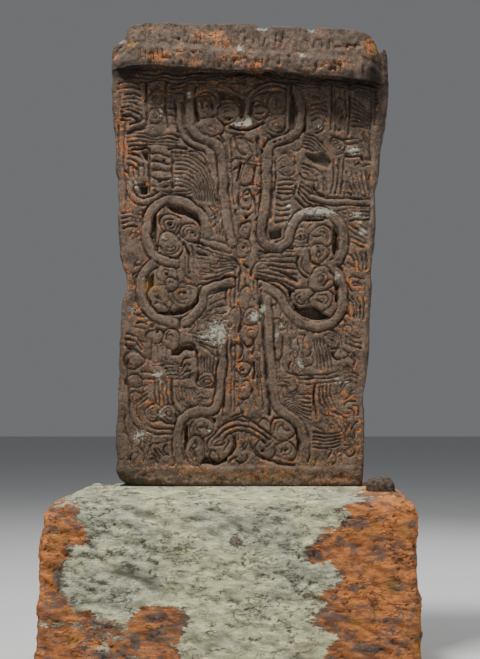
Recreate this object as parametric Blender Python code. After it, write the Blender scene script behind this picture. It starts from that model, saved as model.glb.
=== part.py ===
"""A khachkar: a carved stone slab with a projecting cornice, on a rough stone block.

X runs across the carved face, Y from that face to the back, and Z up. The origin is the
middle of the block's underside. Sizes are in metres.
"""

import math

import bmesh
import bpy
from mathutils import Vector, noise

# The slab
SLAB_HEIGHT = 1.485
SLAB_WIDTH = 0.892
SLAB_THICKNESS = 0.24
SLAB_BACK_CHAMFER = 0.008
CORNICE_HEIGHT = 0.145
CORNICE_REACH = 0.058
CORNICE_LEAN = 0.016
RELIEF_DEPTH = 0.019

# How far the tops of the carving lie behind the slab's border
BAND_DROP = 0.001
CROSS_DROP = 0.003
LOBE_DROP = 0.0045
RIB_DROP = 0.006
INFILL_DROP = 0.011

# The block under the slab
PLINTH_WIDTH = 1.15
PLINTH_DEPTH = 0.70
PLINTH_HEIGHT = 0.60
PLINTH_ROUGHNESS = 0.011
PLINTH_BATTER = 0.012
LEFT_SHOULDER = 0.115
LEFT_SHOULDER_DROP = 0.055
RIGHT_SHOULDER = 0.055
RIGHT_SHOULDER_DROP = 0.026
FRONT_EDGE_DROP = 0.032
BACK_EDGE_DROP = 0.030
SHOULDER_SHARE_AT_FRONT = 0.3

# How the slab stands on the block
SLAB_SHIFT = 0.040
SLAB_SETBACK = 0.25
SEAT_MARGIN = 0.012
TOUCH_GAP = 0.0003

# The small broken stone on the block
STONE_LENGTH = 0.092
STONE_WIDTH = 0.062
STONE_HEIGHT = 0.042
STONE_CLEARANCE = 0.030
STONE_END_CLEARANCE = 0.004

# The carving is laid out on a grid of about a centimetre, which grows with the slab
GRID_ROWS = 148.5
GRID_COLUMNS = 89.2
ROW = SLAB_HEIGHT / GRID_ROWS
COLUMN = SLAB_WIDTH / GRID_COLUMNS

BAND = 2.4
RIB = 1.1
BURIED = 0.006
LEVEL_STEP = 0.00009
LEVELS = 11
WELD_DISTANCE = 0.00001

FACE = -PLINTH_DEPTH / 2 + SLAB_SETBACK
GROUND = FACE + RELIEF_DEPTH
SLAB_BACK = FACE + SLAB_THICKNESS
SEAT_FRONT = FACE - SEAT_MARGIN
SEAT_BACK = SLAB_BACK + SEAT_MARGIN


def clear_scene():
    for thing in list(bpy.data.objects):
        bpy.data.objects.remove(thing, do_unlink=True)


def new_collection(name):
    collection = bpy.data.collections.new(name)
    bpy.context.scene.collection.children.link(collection)
    return collection


def stone_material(name, colour, roughness):
    material = bpy.data.materials.new(name)
    material.use_nodes = True
    shader = material.node_tree.nodes["Principled BSDF"]
    shader.inputs["Base Color"].default_value = (*colour, 1.0)
    shader.inputs["Roughness"].default_value = roughness
    shader.inputs["Metallic"].default_value = 0.0
    return material


# Outlines and paths on the carving's grid: x across from the slab's axis, z up from its foot

def smooth(points, steps=3):
    """A Catmull-Rom curve through the points, with as many steps between two of them."""
    padded = [points[0]] + list(points) + [points[-1]]
    curve = []
    for a, b, c, d in zip(padded, padded[1:], padded[2:], padded[3:]):
        for step in range(steps):
            t = step / steps
            curve.append(tuple(
                0.5 * (2 * q + (r - p) * t + (2 * p - 5 * q + 4 * r - s) * t * t
                       + (3 * q - p - 3 * r + s) * t ** 3)
                for p, q, r, s in zip(a, b, c, d)))
    curve.append(tuple(points[-1]))
    return curve


def arc(x, z, across, up, start, end, steps=12):
    """Points on an ellipse from one angle to another, in degrees from +X towards +Z."""
    angles = (math.radians(start + (end - start) * i / steps) for i in range(steps + 1))
    return [(x + across * math.cos(a), z + up * math.sin(a)) for a in angles]


def spiral(x, z, radius, start, turns=1.25, steps=13):
    """Points that wind in to the middle, clockwise where the number of turns is negative."""
    path = []
    for i in range(steps + 1):
        share = i / steps
        angle = math.radians(start) + 2 * math.pi * turns * share
        reach = radius * (1 - 0.78 * share)
        path.append((x + reach * math.cos(angle), z + reach * math.sin(angle)))
    return path


def disc(x, z, radius, sides=11):
    return arc(x, z, radius, radius, 0, 360 * (sides - 1) / sides, sides - 1)


def ribbon(path, width, end_width=None):
    """The outline of a band along a path, whose width changes evenly to its end."""
    end_width = width if end_width is None else end_width
    left, right = [], []
    last = len(path) - 1
    for i, (x, z) in enumerate(path):
        x0, z0 = path[max(i - 1, 0)]
        x1, z1 = path[min(i + 1, last)]
        run, rise = x1 - x0, z1 - z0
        length = math.hypot(run, rise)
        half = (width + (end_width - width) * i / last) / 2
        left.append((x - rise / length * half, z + run / length * half))
        right.append((x + rise / length * half, z - run / length * half))
    return left + right[::-1]


def leaf(start, end, width, steps=5):
    """A pointed leaf between two points, widest in the middle."""
    run, rise = end[0] - start[0], end[1] - start[1]
    length = math.hypot(run, rise)
    sides = []
    for side, order in ((1, range(steps + 1)), (-1, range(steps - 1, 0, -1))):
        for i in order:
            share = i / steps
            bulge = side * width / 2 * math.sin(math.pi * share)
            sides.append((start[0] + run * share - rise / length * bulge,
                          start[1] + rise * share + run / length * bulge))
    return sides


def fan(x, z, near, far, start, end, ribs, curl=0.0):
    """Paths of the ribs that spread from a point, each bent by the curl in degrees."""
    paths = []
    for i in range(ribs):
        angle = start + (end - start) * i / (ribs - 1)
        path = []
        for step in range(4):
            share = step / 3
            turned = math.radians(angle + curl * share)
            reach = near + (far - near) * share
            path.append((x + reach * math.cos(turned), z + reach * math.sin(turned)))
        paths.append(path)
    return paths


def latin_cross(x, post, foot, head, arm_low, arm_high, arm_left, arm_right, flare=0.8):
    """The outline of a small cross, whose ends widen a little."""
    half = post / 2
    return [
        (x - half - flare, foot), (x + half + flare, foot), (x + half, foot + 3),
        (x + half, arm_low), (arm_right, arm_low - flare), (arm_right, arm_high + flare),
        (x + half, arm_high), (x + half, head - 3), (x + half + flare, head),
        (x - half - flare, head), (x - half, head - 3), (x - half, arm_high),
        (arm_left, arm_high + flare), (arm_left, arm_low - flare), (x - half, arm_low),
        (x - half, foot + 3)]


# The slab's edge, worn and chipped: the left side going up, the top, the right side going down
LEFT_EDGE = [
    (-37, 0), (-39.4, 2.5), (-40.2, 5), (-40.3, 13), (-39.9, 22), (-39.8, 34), (-39.2, 50),
    (-38.4, 59), (-37.2, 63), (-37.3, 68), (-38.8, 71), (-39.8, 82), (-40.1, 95), (-41.1, 110),
    (-42.3, 124), (-42, 134), (-42, 142)]
TOP_EDGE = [
    (-41, 143), (-38.2, 144.4), (-37.5, 148.5), (-24, 148.8), (4, 148.3), (6, 146.6), (10, 147.5),
    (20, 147.1), (22.5, 146.2), (24, 147.2), (37, 146.3), (41.5, 144.7), (44, 139.8),
    (46.3, 141.6)]
RIGHT_EDGE = [
    (47.2, 138), (47.2, 130), (46.4, 120), (45, 112), (43.5, 99), (42.5, 94), (42.7, 87),
    (41.3, 69), (40.5, 52), (40, 42), (38.3, 27), (38.7, 19), (38.6, 10), (38, 0)]

# The corners of the sunk field that holds the carving
FIELD = [(-36.6, 6), (-36.2, 70), (-38.3, 88), (-39.5, 137), (43.4, 137), (41.2, 90), (38.6, 48),
         (36.6, 6)]

# The big cross: two bands for its upper shaft, two for its lower one
SHAFT_BANDS = [
    [(-17.5, 127), (-17.5, 120), (-16, 114), (-12, 111.3), (-7.6, 109.4), (-6.7, 102), (-6.2, 94),
     (-5, 86), (-3.1, 76)],
    [(17.5, 127), (19.6, 121), (18.3, 115.6), (14, 112.5), (9.2, 110.6), (8, 104), (8, 94),
     (6.7, 86), (6.6, 80), (8.5, 76.8), (12.2, 77.1), (14.6, 81.5)],
    [(-3, 66), (-10, 64.6), (-12.5, 62)],
    [(-6.3, 50), (-6.5, 44), (-7.2, 34), (-8, 26), (-11.5, 23.5), (-15.5, 23), (-19.2, 20),
     (-21, 15), (-20.8, 11), (-19.5, 7.5)],
    [(5.2, 63), (8, 56), (8.2, 46), (8.8, 38), (9.8, 29), (11.5, 24), (16, 21.5), (19, 17.5),
     (20, 12), (19.3, 8)]]
SHAFT_INFILL = [(-4.6, 107), (-3, 88), (-1.5, 66), (-4.9, 50), (-6, 26), (-5, 23), (7, 23),
                (7.6, 30), (7, 50), (4, 66), (5, 88), (6.2, 107)]
SHAFT_LEAVES = [((-1.6, 107), (-1.8, 97)), ((3.8, 113), (3.8, 103)), ((-0.8, 96), (-0.4, 87)),
                ((3.6, 102), (3.6, 92)), ((3.2, 91), (3, 81)), ((-1.2, 60), (-1.8, 51)),
                ((3.8, 60), (3.6, 51)), ((-1.4, 49), (-2, 39)), ((3.8, 48), (3.6, 38)),
                ((-2.2, 37), (-2.6, 27)), ((3.8, 36), (3.8, 26))]
SHAFT_CROSSBARS = [[(-4, 104.5), (6, 103.5)], [(-3.6, 57), (6.6, 57)], [(-4, 41), (6.4, 41)]]
ARM_FANS = [
    (5.5, 71, 5, 21.5, 163, 196, 5, 0),
    (-4, 71, 8, 20.5, 14, -19, 5, 0)]
CROSS_HUB = (0.9, 71.3, 5.6)

# The round ends of its arms: an open ring with a bud in it
RINGS = [
    arc(-21.4, 81.2, 9.8, 10.1, -88, -352, 15),
    arc(-22.6, 62, 10.1, 9.8, -12, -238, 14),
    arc(22.9, 78.6, 9.6, 9.9, 150, -46, 12),
    arc(22.2, 61.2, 9.9, 10.2, 44, -178, 13) + [(11, 62.8), (7.2, 64)]]
LOBES = [
    (-23, 77.6, 3.6), (-28.4, 78.6, 2.2), (-24.6, 68, 2.6), (-26.5, 60.2, 3.8), (-30, 63.6, 1.7),
    (25, 79.4, 3.2), (24, 73.6, 2.3), (25.2, 66.2, 3.2), (19, 59.6, 2.9), (-10.4, 116.2, 2.8),
    (-12.4, 123, 2.9), (11.8, 124, 2.7), (6, 121.2, 2.2), (-7.3, 13, 3.5), (-15.2, 10.4, 2.5),
    (12.4, 17.2, 3.1), (-35, 40.2, 2.3), (-34.6, 32.8, 2.2), (-28.6, 23.4, 2.1),
    (-23.6, 22.6, 2.1), (30.6, 42, 2.7), (-26.6, 47.4, 2.3)]
SPIRALS = [
    (-23.4, 84.4, 2.7, 200, -1.25), (-16.6, 81, 2.6, 90, -1.25), (-19.2, 61, 3.6, 20, 1.25),
    (18.8, 79.8, 2.9, 250, -1.25), (-5, 121.6, 2.9, 120, 1.25), (11.3, 116.4, 2.6, 60, -1.25),
    (-13.4, 18.4, 3.1, 0, 1.25), (13.6, 103, 3.1, 180, 1.25), (27, 46.6, 2.4, 90, 1.25),
    (-11.6, 33.8, 2.2, 0, -1.25)]
LEAVES = [
    ((22.2, 61.6), (25.2, 54.6), 3.4), ((4.4, 13.4), (16.6, 9), 4.6), ((-37, 114.4), (-31.6, 115.6), 2.6),
    ((18.6, 95), (25.6, 101.6), 4.4), ((29.3, 83.2), (30, 76), 1.8), ((-17.6, 32), (-17.4, 42), 4.2)]

# The arch between the buds under the shaft, and the other bands and lines
BUD_BANDS = [
    [(-6.2, 17.4), (-3, 18.8), (0.4, 19), (5.6, 16.8), (9.4, 14.4)],
    [(0, 16.4), (0, 9.6)],
    [(-3.6, 115.2), (0, 114.4), (3.6, 115.2), (6.6, 117)],
    [(14.6, 129.4), (14.7, 124), (14.6, 118.6)],
    [(-36.6, 99), (-36, 94.6), (-33, 91.4), (-29.4, 91.9), (-24, 94.4), (-16.6, 94.3)],
    [(-36.3, 34), (-36.3, 24), (-33.6, 18.8), (-29, 16.8), (-22.6, 16.6)],
    [(-38.6, 120.6), (-35.8, 120.4), (-34, 118)],
    [(17.2, 97), (17.4, 93), (20.4, 89.4), (26, 88.6), (33, 88.4), (40.4, 88.4)],
    [(13.2, 38.4), (16.4, 38), (20, 35.6)]]

SMALL_CROSSES = [
    latin_cross(-28.1, 6.2, 97, 133, 108, 114, -37.4, -20.4),
    latin_cross(31.6, 5.8, 101, 132, 104.4, 111.6, 22.4, 40.6),
    latin_cross(-26.3, 6.3, 25, 45.4, 34.2, 38.6, -33.4, -20.4, 0.5),
    latin_cross(25.2, 4.6, 19.6, 44.6, 33, 36.2, 20.4, 31.2, 0.5)]
FANS = [
    (-25, 108, 4.6, 15.6, -84, -8, 6, 14),
    (13, 100.4, 3.6, 9.6, -66, -6, 5, -10),
    (32.6, 104, 4.4, 11.4, -88, -30, 5, 0),
    (-24.6, 34.6, 5.4, 14.4, -78, -22, 6, 8),
    (23.4, 33.4, 5.2, 13.4, -164, -104, 5, -8),
    (20.6, 114.6, 3.6, 9.2, 6, 82, 5, 0)]
STRIPES = [
    (-39, -32.6, 120.8, 127.6, 0.0, 4), (34.8, 40.6, 116.6, 127.6, 2.4, 5),
    (22.6, 31.6, 12.4, 17.6, 0.3, 3), (-34, 12, 129.6, 132.6, -1.2, 2),
    (31.4, 40.6, 86.4, 90.6, 0.0, 1)]


# Solids

def carved(name, outline, front, back, collection):
    """A flat outline on the grid, cut out between two depths, as a closed mesh."""
    curve = bpy.data.curves.new(name, "CURVE")
    curve.dimensions = "2D"
    curve.fill_mode = "BOTH"
    curve.extrude = (back - front) / 2
    spline = curve.splines.new("POLY")
    spline.points.add(len(outline) - 1)
    for point, (x, z) in zip(spline.points, outline):
        point.co = (x * COLUMN, z * ROW, 0, 1)
    spline.use_cyclic_u = True
    drawn = bpy.data.objects.new(name + "_outline", curve)
    drawn.rotation_euler = (math.pi / 2, 0, 0)
    drawn.location = (SLAB_SHIFT, (front + back) / 2, PLINTH_HEIGHT + TOUCH_GAP)
    collection.objects.link(drawn)
    return drawn


def as_mesh(drawn, name, collection):
    """The curve's object made a mesh of its own, with its loose caps welded."""
    graph = bpy.context.evaluated_depsgraph_get()
    mesh = bpy.data.meshes.new_from_object(drawn.evaluated_get(graph))
    solid = bpy.data.objects.new(name, mesh)
    solid.matrix_world = drawn.matrix_world.copy()
    shape = bmesh.new()
    shape.from_mesh(mesh)
    bmesh.ops.remove_doubles(shape, verts=shape.verts, dist=0.00002)
    bmesh.ops.recalc_face_normals(shape, faces=shape.faces)
    shape.to_mesh(mesh)
    shape.free()
    collection.objects.link(solid)
    bpy.data.objects.remove(drawn, do_unlink=True)
    return solid


def cutter(solid):
    solid.hide_render = True
    solid.display_type = "WIRE"
    return solid


def edge_at(edge, height):
    """Where a side of the slab is at a height, as the x of its outline."""
    for (x0, z0), (x1, z1) in zip(edge, edge[1:]):
        low, high = sorted((z0, z1))
        if low <= height <= high and z0 != z1:
            return x0 + (x1 - x0) * (height - z0) / (z1 - z0)
    return edge[-1][0]


def border_outline():
    """The raised border down both sides and across the foot, left round the sunk field."""
    top = FIELD[3][1]
    left = [point for point in LEFT_EDGE if point[1] < top]
    right = [point for point in RIGHT_EDGE if point[1] < top]
    outer = left[::-1] + right[::-1]
    start = [(edge_at(LEFT_EDGE, top), top)]
    end = [(edge_at(RIGHT_EDGE, top), top)]
    inner = FIELD[4:] + FIELD[:4]
    return start + outer + end + inner


def carving_outlines():
    """Every raised outline of the field, with how far its top lies behind the border."""
    yield SHAFT_INFILL, INFILL_DROP
    yield disc(*CROSS_HUB, 12), CROSS_DROP + LEVEL_STEP * LEVELS
    for path in SHAFT_BANDS:
        yield ribbon(smooth(path, 2), BAND), BAND_DROP
    for path in SHAFT_CROSSBARS:
        yield ribbon(path, RIB), LOBE_DROP
    for start, end in SHAFT_LEAVES:
        yield leaf(start, end, 3.0, 4), LOBE_DROP
    for path in RINGS:
        yield ribbon(path, BAND), BAND_DROP
    for path in BUD_BANDS:
        yield ribbon(smooth(path, 2), BAND * 0.85), CROSS_DROP
    for outline in SMALL_CROSSES:
        yield outline, CROSS_DROP
    for x, z, radius in LOBES:
        yield disc(x, z, radius, 9), LOBE_DROP
    for x, z, radius, start, turns in SPIRALS:
        yield ribbon(spiral(x, z, radius, start, turns, 11), RIB * 1.25, RIB), LOBE_DROP
    for start, end, width in LEAVES:
        yield leaf(start, end, width), LOBE_DROP
    for place in ARM_FANS + FANS:
        for path in fan(*place):
            yield ribbon(path, RIB, RIB * 1.9), RIB_DROP
    for left, right, low, high, rise, lines in STRIPES:
        for line in range(lines):
            z = low + (high - low) * (line + 0.5) / lines
            yield ribbon([(left, z), (right, z + rise)], RIB), RIB_DROP


def cornice_solid(collection):
    """The cornice: its section run across the slab, trimmed to the broken front outline."""
    low = GRID_ROWS - CORNICE_HEIGHT / ROW
    right_fall = 2.2
    worn_top = 0.3
    top = [(x, z - worn_top) for x, z in TOP_EDGE[:-2]]
    worn_end = [(43.6, 139.4), (40.4, 136.4), (38.4, low - right_fall)]
    outline = ([(-42.4, low + 0.6), (-42.7, 141.6)] + top + worn_end
               + [(20, low - 1.2), (6, low - 0.2), (-24, low + 0.4), (-34, low + 0.9)])
    trimmed = carved("cornice", outline, FACE - CORNICE_REACH * 1.6, GROUND + BURIED, collection)
    bpy.context.view_layer.update()
    cornice = as_mesh(trimmed, "cornice_block", collection)

    below = -CORNICE_HEIGHT / 2
    section = [
        (SLAB_BACK, below), (FACE - CORNICE_REACH, below), (FACE - CORNICE_REACH, 0.0),
        (FACE - CORNICE_REACH * 0.94, CORNICE_HEIGHT * 0.48),
        (FACE - CORNICE_REACH * 0.94 + CORNICE_LEAN, CORNICE_HEIGHT * 1.1),
        (SLAB_BACK, CORNICE_HEIGHT * 1.1)]
    curve = bpy.data.curves.new("cornice_section", "CURVE")
    curve.dimensions = "2D"
    curve.fill_mode = "BOTH"
    curve.extrude = SLAB_WIDTH * 0.6
    spline = curve.splines.new("POLY")
    spline.points.add(len(section) - 1)
    for point, (y, z) in zip(spline.points, section):
        point.co = (y, z, 0, 1)
    spline.use_cyclic_u = True
    drawn = bpy.data.objects.new("cornice_section_outline", curve)
    drawn.rotation_euler = (math.pi / 2, 0, math.pi / 2)
    drawn.location = (SLAB_SHIFT, 0, PLINTH_HEIGHT + TOUCH_GAP + SLAB_HEIGHT - CORNICE_HEIGHT)
    collection.objects.link(drawn)
    bpy.context.view_layer.update()
    profile = cutter(as_mesh(drawn, "cornice_profile", collection))

    trim = cornice.modifiers.new("profile", "BOOLEAN")
    trim.operation = "INTERSECT"
    trim.solver = "EXACT"
    trim.object = profile
    return cutter(cornice)


def make_slab(parts, cutters, carving):
    outline = LEFT_EDGE + TOP_EDGE + RIGHT_EDGE
    drawn = carved("slab", outline, GROUND, SLAB_BACK, cutters)
    border = carved("border", border_outline(), FACE, GROUND + BURIED, carving)
    raised = []
    for number, (shape, drop) in enumerate(carving_outlines()):
        step = LEVEL_STEP * (number % LEVELS)
        raised.append(carved(f"carving_{number}", shape, FACE + drop + step,
                             GROUND + BURIED + step, carving))
    bpy.context.view_layer.update()

    slab = as_mesh(drawn, "slab", parts)
    chamfer_back(slab)
    cutter(as_mesh(border, "border", carving))
    for number, shape in enumerate(raised):
        cutter(as_mesh(shape, f"carving_{number}", carving))
    cornice = cornice_solid(cutters)

    for name, operand in (("carving", carving), ("cornice", cornice)):
        join = slab.modifiers.new(name, "BOOLEAN")
        join.operation = "UNION"
        join.solver = "EXACT"
        if operand is carving:
            join.operand_type = "COLLECTION"
            join.collection = carving
        else:
            join.object = cornice
    weld = slab.modifiers.new("weld", "WELD")
    weld.merge_threshold = WELD_DISTANCE
    slab.data.materials.clear()
    slab.data.materials.append(stone_material("weathered_tuff", (0.155, 0.125, 0.10), 0.93))
    return slab


def chamfer_back(slab):
    """Takes the sharp edge off the back, which is only dressed roughly."""
    shape = bmesh.new()
    shape.from_mesh(slab.data)
    back = min(vertex.co.z for vertex in shape.verts)
    edges = [edge for edge in shape.edges
             if all(abs(vertex.co.z - back) < 1e-6 for vertex in edge.verts)
             and any(abs(face.normal.z) < 0.5 for face in edge.link_faces)]
    bmesh.ops.bevel(shape, geom=edges, offset=SLAB_BACK_CHAMFER, segments=1, affect="EDGES")
    bmesh.ops.dissolve_degenerate(shape, edges=shape.edges, dist=0.0001)
    shape.to_mesh(slab.data)
    shape.free()


# The block

def between(value, stops):
    """The value read from a list of (value, result) stops, straight between two of them."""
    for (a, low), (b, high) in zip(stops, stops[1:]):
        if value <= b:
            return low + (high - low) * (value - a) / (b - a)
    return stops[-1][1]


def front_slope():
    """How much the block's top falls for each metre in front of the slab."""
    return FRONT_EDGE_DROP / (SEAT_FRONT + PLINTH_DEPTH / 2)


def block_top(x, y):
    """The height of the block's top: level under the slab, falling to its worn edges."""
    half = PLINTH_WIDTH / 2
    fall = front_slope() * max(0, SEAT_FRONT - y)
    fall += BACK_EDGE_DROP * max(0, y - SEAT_BACK) / (PLINTH_DEPTH / 2 - SEAT_BACK)
    behind_front = min((y + PLINTH_DEPTH / 2) / SLAB_SETBACK, 1)
    shoulders = LEFT_SHOULDER_DROP * max(0, LEFT_SHOULDER - half - x) / LEFT_SHOULDER
    shoulders += RIGHT_SHOULDER_DROP * max(0, x - half + RIGHT_SHOULDER) / RIGHT_SHOULDER
    share = SHOULDER_SHARE_AT_FRONT + (1 - SHOULDER_SHARE_AT_FRONT) * behind_front
    return PLINTH_HEIGHT - fall - shoulders * share


def roughness_at(point, seed, size):
    """A smooth bump between -1 and 1, the same each time for the same place."""
    return noise.noise(Vector(point) / size + Vector((seed, seed * 0.7, -seed)))


def make_plinth(parts):
    half_width, half_depth = PLINTH_WIDTH / 2, PLINTH_DEPTH / 2
    across = [(-0.5, -half_width), (-0.4, LEFT_SHOULDER - half_width),
              (0.4, half_width - RIGHT_SHOULDER), (0.5, half_width)]
    deep = [(-0.5, -half_depth), (-0.2, SEAT_FRONT), (0.2, SEAT_BACK), (0.5, half_depth)]
    shape = bmesh.new()
    bmesh.ops.create_cube(shape, size=1)
    bmesh.ops.subdivide_edges(shape, edges=shape.edges[:], cuts=9, use_grid_fill=True)
    for vertex in shape.verts:
        u, v, w = (round(share, 4) for share in vertex.co)
        x, y = between(u, across), between(v, deep)
        z = (w + 0.5) * block_top(x, y)
        spread = -2 * PLINTH_BATTER * w
        if abs(u) == 0.5:
            push = PLINTH_ROUGHNESS * roughness_at((x, y, z), 3.1, 0.16) + spread
            x += math.copysign(1, u) * push
        if abs(v) == 0.5:
            push = PLINTH_ROUGHNESS * roughness_at((x, y, z), 8.4, 0.16)
            y += math.copysign(1, v) * push
        vertex.co = (x, y, z)
    bmesh.ops.triangulate(shape, faces=shape.faces)
    bmesh.ops.recalc_face_normals(shape, faces=shape.faces)
    mesh = bpy.data.meshes.new("plinth")
    shape.to_mesh(mesh)
    shape.free()
    plinth = bpy.data.objects.new("plinth", mesh)
    parts.objects.link(plinth)
    mesh.materials.append(stone_material("lichened_block", (0.36, 0.30, 0.20), 0.95))
    return plinth


# The loose stone

def make_loose_stone(parts):
    shape = bmesh.new()
    bmesh.ops.create_cube(shape, size=1)
    bmesh.ops.subdivide_edges(shape, edges=shape.edges[:], cuts=5, use_grid_fill=True)
    for vertex in shape.verts:
        u, v, w = vertex.co
        rise = w + 0.5
        lean = 1 - 0.28 * rise * rise
        round_off = 1 - 0.30 * (abs(u * v) * 4) ** 2
        x = u * STONE_LENGTH * lean * round_off
        y = v * STONE_WIDTH * lean * round_off
        crown = 1 - 0.55 * (2 * u) ** 2 * 0.5 - 0.4 * (2 * v) ** 2 * 0.5
        dent = 0.42 * math.exp(-((u - 0.42) / 0.13) ** 2 - (v / 0.3) ** 2)
        z = rise * STONE_HEIGHT * max(crown - dent, 0.15)
        bump = STONE_HEIGHT * 0.09 * roughness_at((x, y, z), 5.3, 0.022)
        vertex.co = (x + bump * (2 * u), y + bump * (2 * v), z + bump * rise)
    bmesh.ops.triangulate(shape, faces=shape.faces)
    bmesh.ops.recalc_face_normals(shape, faces=shape.faces)
    mesh = bpy.data.meshes.new("loose_stone")
    shape.to_mesh(mesh)
    shape.free()
    stone = bpy.data.objects.new("loose_stone", mesh)
    slope = math.atan(front_slope())
    middle = FACE - STONE_CLEARANCE - STONE_WIDTH / 2
    right = PLINTH_WIDTH / 2 - RIGHT_SHOULDER - STONE_END_CLEARANCE - STONE_LENGTH / 2
    stone.location = (right, middle, block_top(right, middle) + TOUCH_GAP / math.cos(slope))
    stone.rotation_euler = (slope, 0, 0)
    parts.objects.link(stone)
    mesh.materials.append(stone_material("grey_rubble", (0.20, 0.17, 0.14), 0.95))
    return stone


clear_scene()
khachkar = new_collection("khachkar")
cutter_shapes = new_collection("cutters")
carving_shapes = new_collection("carving")
make_plinth(khachkar)
make_loose_stone(khachkar)
make_slab(khachkar, cutter_shapes, carving_shapes)
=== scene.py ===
"""The looks of a khachkar: a carved stone slab with a cornice, a rough block, a loose stone."""
import math

import bpy
import numpy as np
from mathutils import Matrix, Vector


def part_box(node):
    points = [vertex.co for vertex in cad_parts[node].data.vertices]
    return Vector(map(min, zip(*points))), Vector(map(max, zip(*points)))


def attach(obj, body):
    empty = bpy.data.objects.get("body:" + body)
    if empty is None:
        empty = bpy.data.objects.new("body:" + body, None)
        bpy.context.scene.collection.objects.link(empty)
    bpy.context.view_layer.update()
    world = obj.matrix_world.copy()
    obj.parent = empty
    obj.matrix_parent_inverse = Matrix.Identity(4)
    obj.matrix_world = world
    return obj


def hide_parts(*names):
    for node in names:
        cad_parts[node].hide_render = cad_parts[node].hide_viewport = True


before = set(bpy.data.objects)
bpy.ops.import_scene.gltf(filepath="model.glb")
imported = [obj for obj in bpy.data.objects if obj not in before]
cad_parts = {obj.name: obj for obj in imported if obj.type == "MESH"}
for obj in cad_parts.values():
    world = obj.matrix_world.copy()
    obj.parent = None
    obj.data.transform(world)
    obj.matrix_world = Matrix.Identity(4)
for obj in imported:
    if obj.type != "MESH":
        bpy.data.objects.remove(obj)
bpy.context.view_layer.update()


# The slab: brown-grey tuff cut from one block, its face carved and long weathered. The body
# and the cornice are one stone. Its mesh is a grid that climbs the face, turns out under the
# cornice and climbs the cornice's front, closed by rings round its sides and a plain back.

CM = 0.01
slab_low, slab_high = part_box("slab")
FOOT, BACK = slab_low[2], slab_high[1]
SLAB_THICKNESS = 0.24
FACE = BACK - SLAB_THICKNESS
AXIS = 0.040
WORD, HALF_WORD = 0xFFFFFFFF, 0xFFFF
CORNER_FACTORS = (374761393, 668265263, 1274126177, 362437)
FOLDS = ((13, 1103515245), (15, 2654435761))


def mix_corner(x, y, z, seed):
    """A repeatable number from 0 to 1 for each corner of a grid of cubes.

    The three whole numbers and the seed are multiplied by large odd numbers, added, and the
    sum's bits are folded over themselves twice.
    """
    folded = sum(value * factor for value, factor in zip((x, y, z, seed), CORNER_FACTORS)) & WORD
    for shift, factor in FOLDS:
        folded = ((folded ^ (folded >> shift)) * factor) & WORD
    return ((folded ^ (folded >> 16)) & HALF_WORD) / HALF_WORD


def grain(x, y, z, size, seed, octaves=1, fade=0.5):
    """Smooth noise from -1 to 1 for whole arrays of places.

    Each place is a blend of the numbers at the eight corners of its cube, eased by
    3t^2 - 2t^3, and each further octave has half the size and a share of the strength.
    """
    total, weight, strength = 0.0, 0.0, 1.0
    for octave in range(octaves):
        places = [np.asarray(axis, dtype=float) / size + 37.3 * (octave + 1) for axis in (x, y, z)]
        corners = [np.floor(place).astype(np.int64) for place in places]
        eased = [(place - corner) ** 2 * (3 - 2 * (place - corner))
                 for place, corner in zip(places, corners)]
        value = 0.0
        for dx in (0, 1):
            for dy in (0, 1):
                for dz in (0, 1):
                    share = ((eased[0] if dx else 1 - eased[0])
                             * (eased[1] if dy else 1 - eased[1])
                             * (eased[2] if dz else 1 - eased[2]))
                    value = value + share * mix_corner(
                        corners[0] + dx, corners[1] + dy, corners[2] + dz, seed + octave)
        total = total + strength * (2 * value - 1)
        weight += strength
        strength *= fade
        size = size / 2
    return total / weight


def layered(start, x, y, z, layers):
    """A start and, added to it, noises that are each (strength, size, seed, octaves)."""
    noises = (strength * grain(x, y, z, size, seed, octaves) for strength, size, seed, octaves in layers)
    return sum(noises, start)


def ease(value, low, high):
    """0 below low, 1 above high and 3t^2 - 2t^3 between."""
    share = np.clip((value - low) / (high - low), 0, 1)
    return share * share * (3 - 2 * share)


def edge_line(points, at, wear=0.0, seed=0, size=2.2):
    """A line's value at each place: straight between its points, with worn bumps."""
    line = np.array(points, dtype=float)
    flat = np.interp(at, line[:, 0], line[:, 1])
    return flat + wear * grain(at, 0 * at, 0 * at, size, seed, 3)


# Everything on the slab is laid out in centimetres, across from its axis and up from its foot.
# The outline: height and place across for the two sides, place across and height for the rest.

SLAB_COLUMNS = 212
FIELD_ROWS, LIP_ROWS, CORNICE_ROWS = 336, 10, 34
SIDE_WEAR = 0.28
CORNICE_START, LIP_LENGTH, CROWN_LENGTH = -42.4, 89.4, 89.2
LIP_WAVE, REACH_WAVE, DROP_WAVE, CORNICE_WAVE_SIZE = 0.55, 0.75, 0.35, 2.4
CROWN_WEAR, CROWN_WEAR_SIZE = 0.12, 1.3
LEFT = [
    (0, -37), (1, -38), (2.2, -39.2), (4.5, -40.2), (8, -39.8), (13, -40.4), (20, -39.9), (30, -40),
    (40, -39.5), (52, -39.1), (56, -38.8), (60, -38.2), (62.6, -37.3), (65, -37), (68, -37.3), (70, -38.6),
    (74, -39.3), (82, -39.8), (92, -40.2), (97, -40.3), (98.3, -39.8), (102, -41), (112, -41.1),
    (118, -41.9), (124, -42.4), (129, -42.6), (131.5, -41.9), (134, -42.3), (142, -42.2)]
RIGHT = [
    (0, 38), (4, 38.3), (12, 38.6), (20, 38.7), (26, 38.2), (31, 38.7), (36, 39.5), (42, 40), (48, 40.5),
    (54, 40.5), (59, 40.9), (64, 41.3), (68, 41), (72, 41.5), (78, 42.2), (86, 42.8), (90, 42.6),
    (95, 42.5), (98, 43.4), (106, 44.3), (112, 45), (116, 45.6), (120, 46.5), (126, 46.9), (130, 47.2),
    (138, 47.2), (141, 46.7)]
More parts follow.
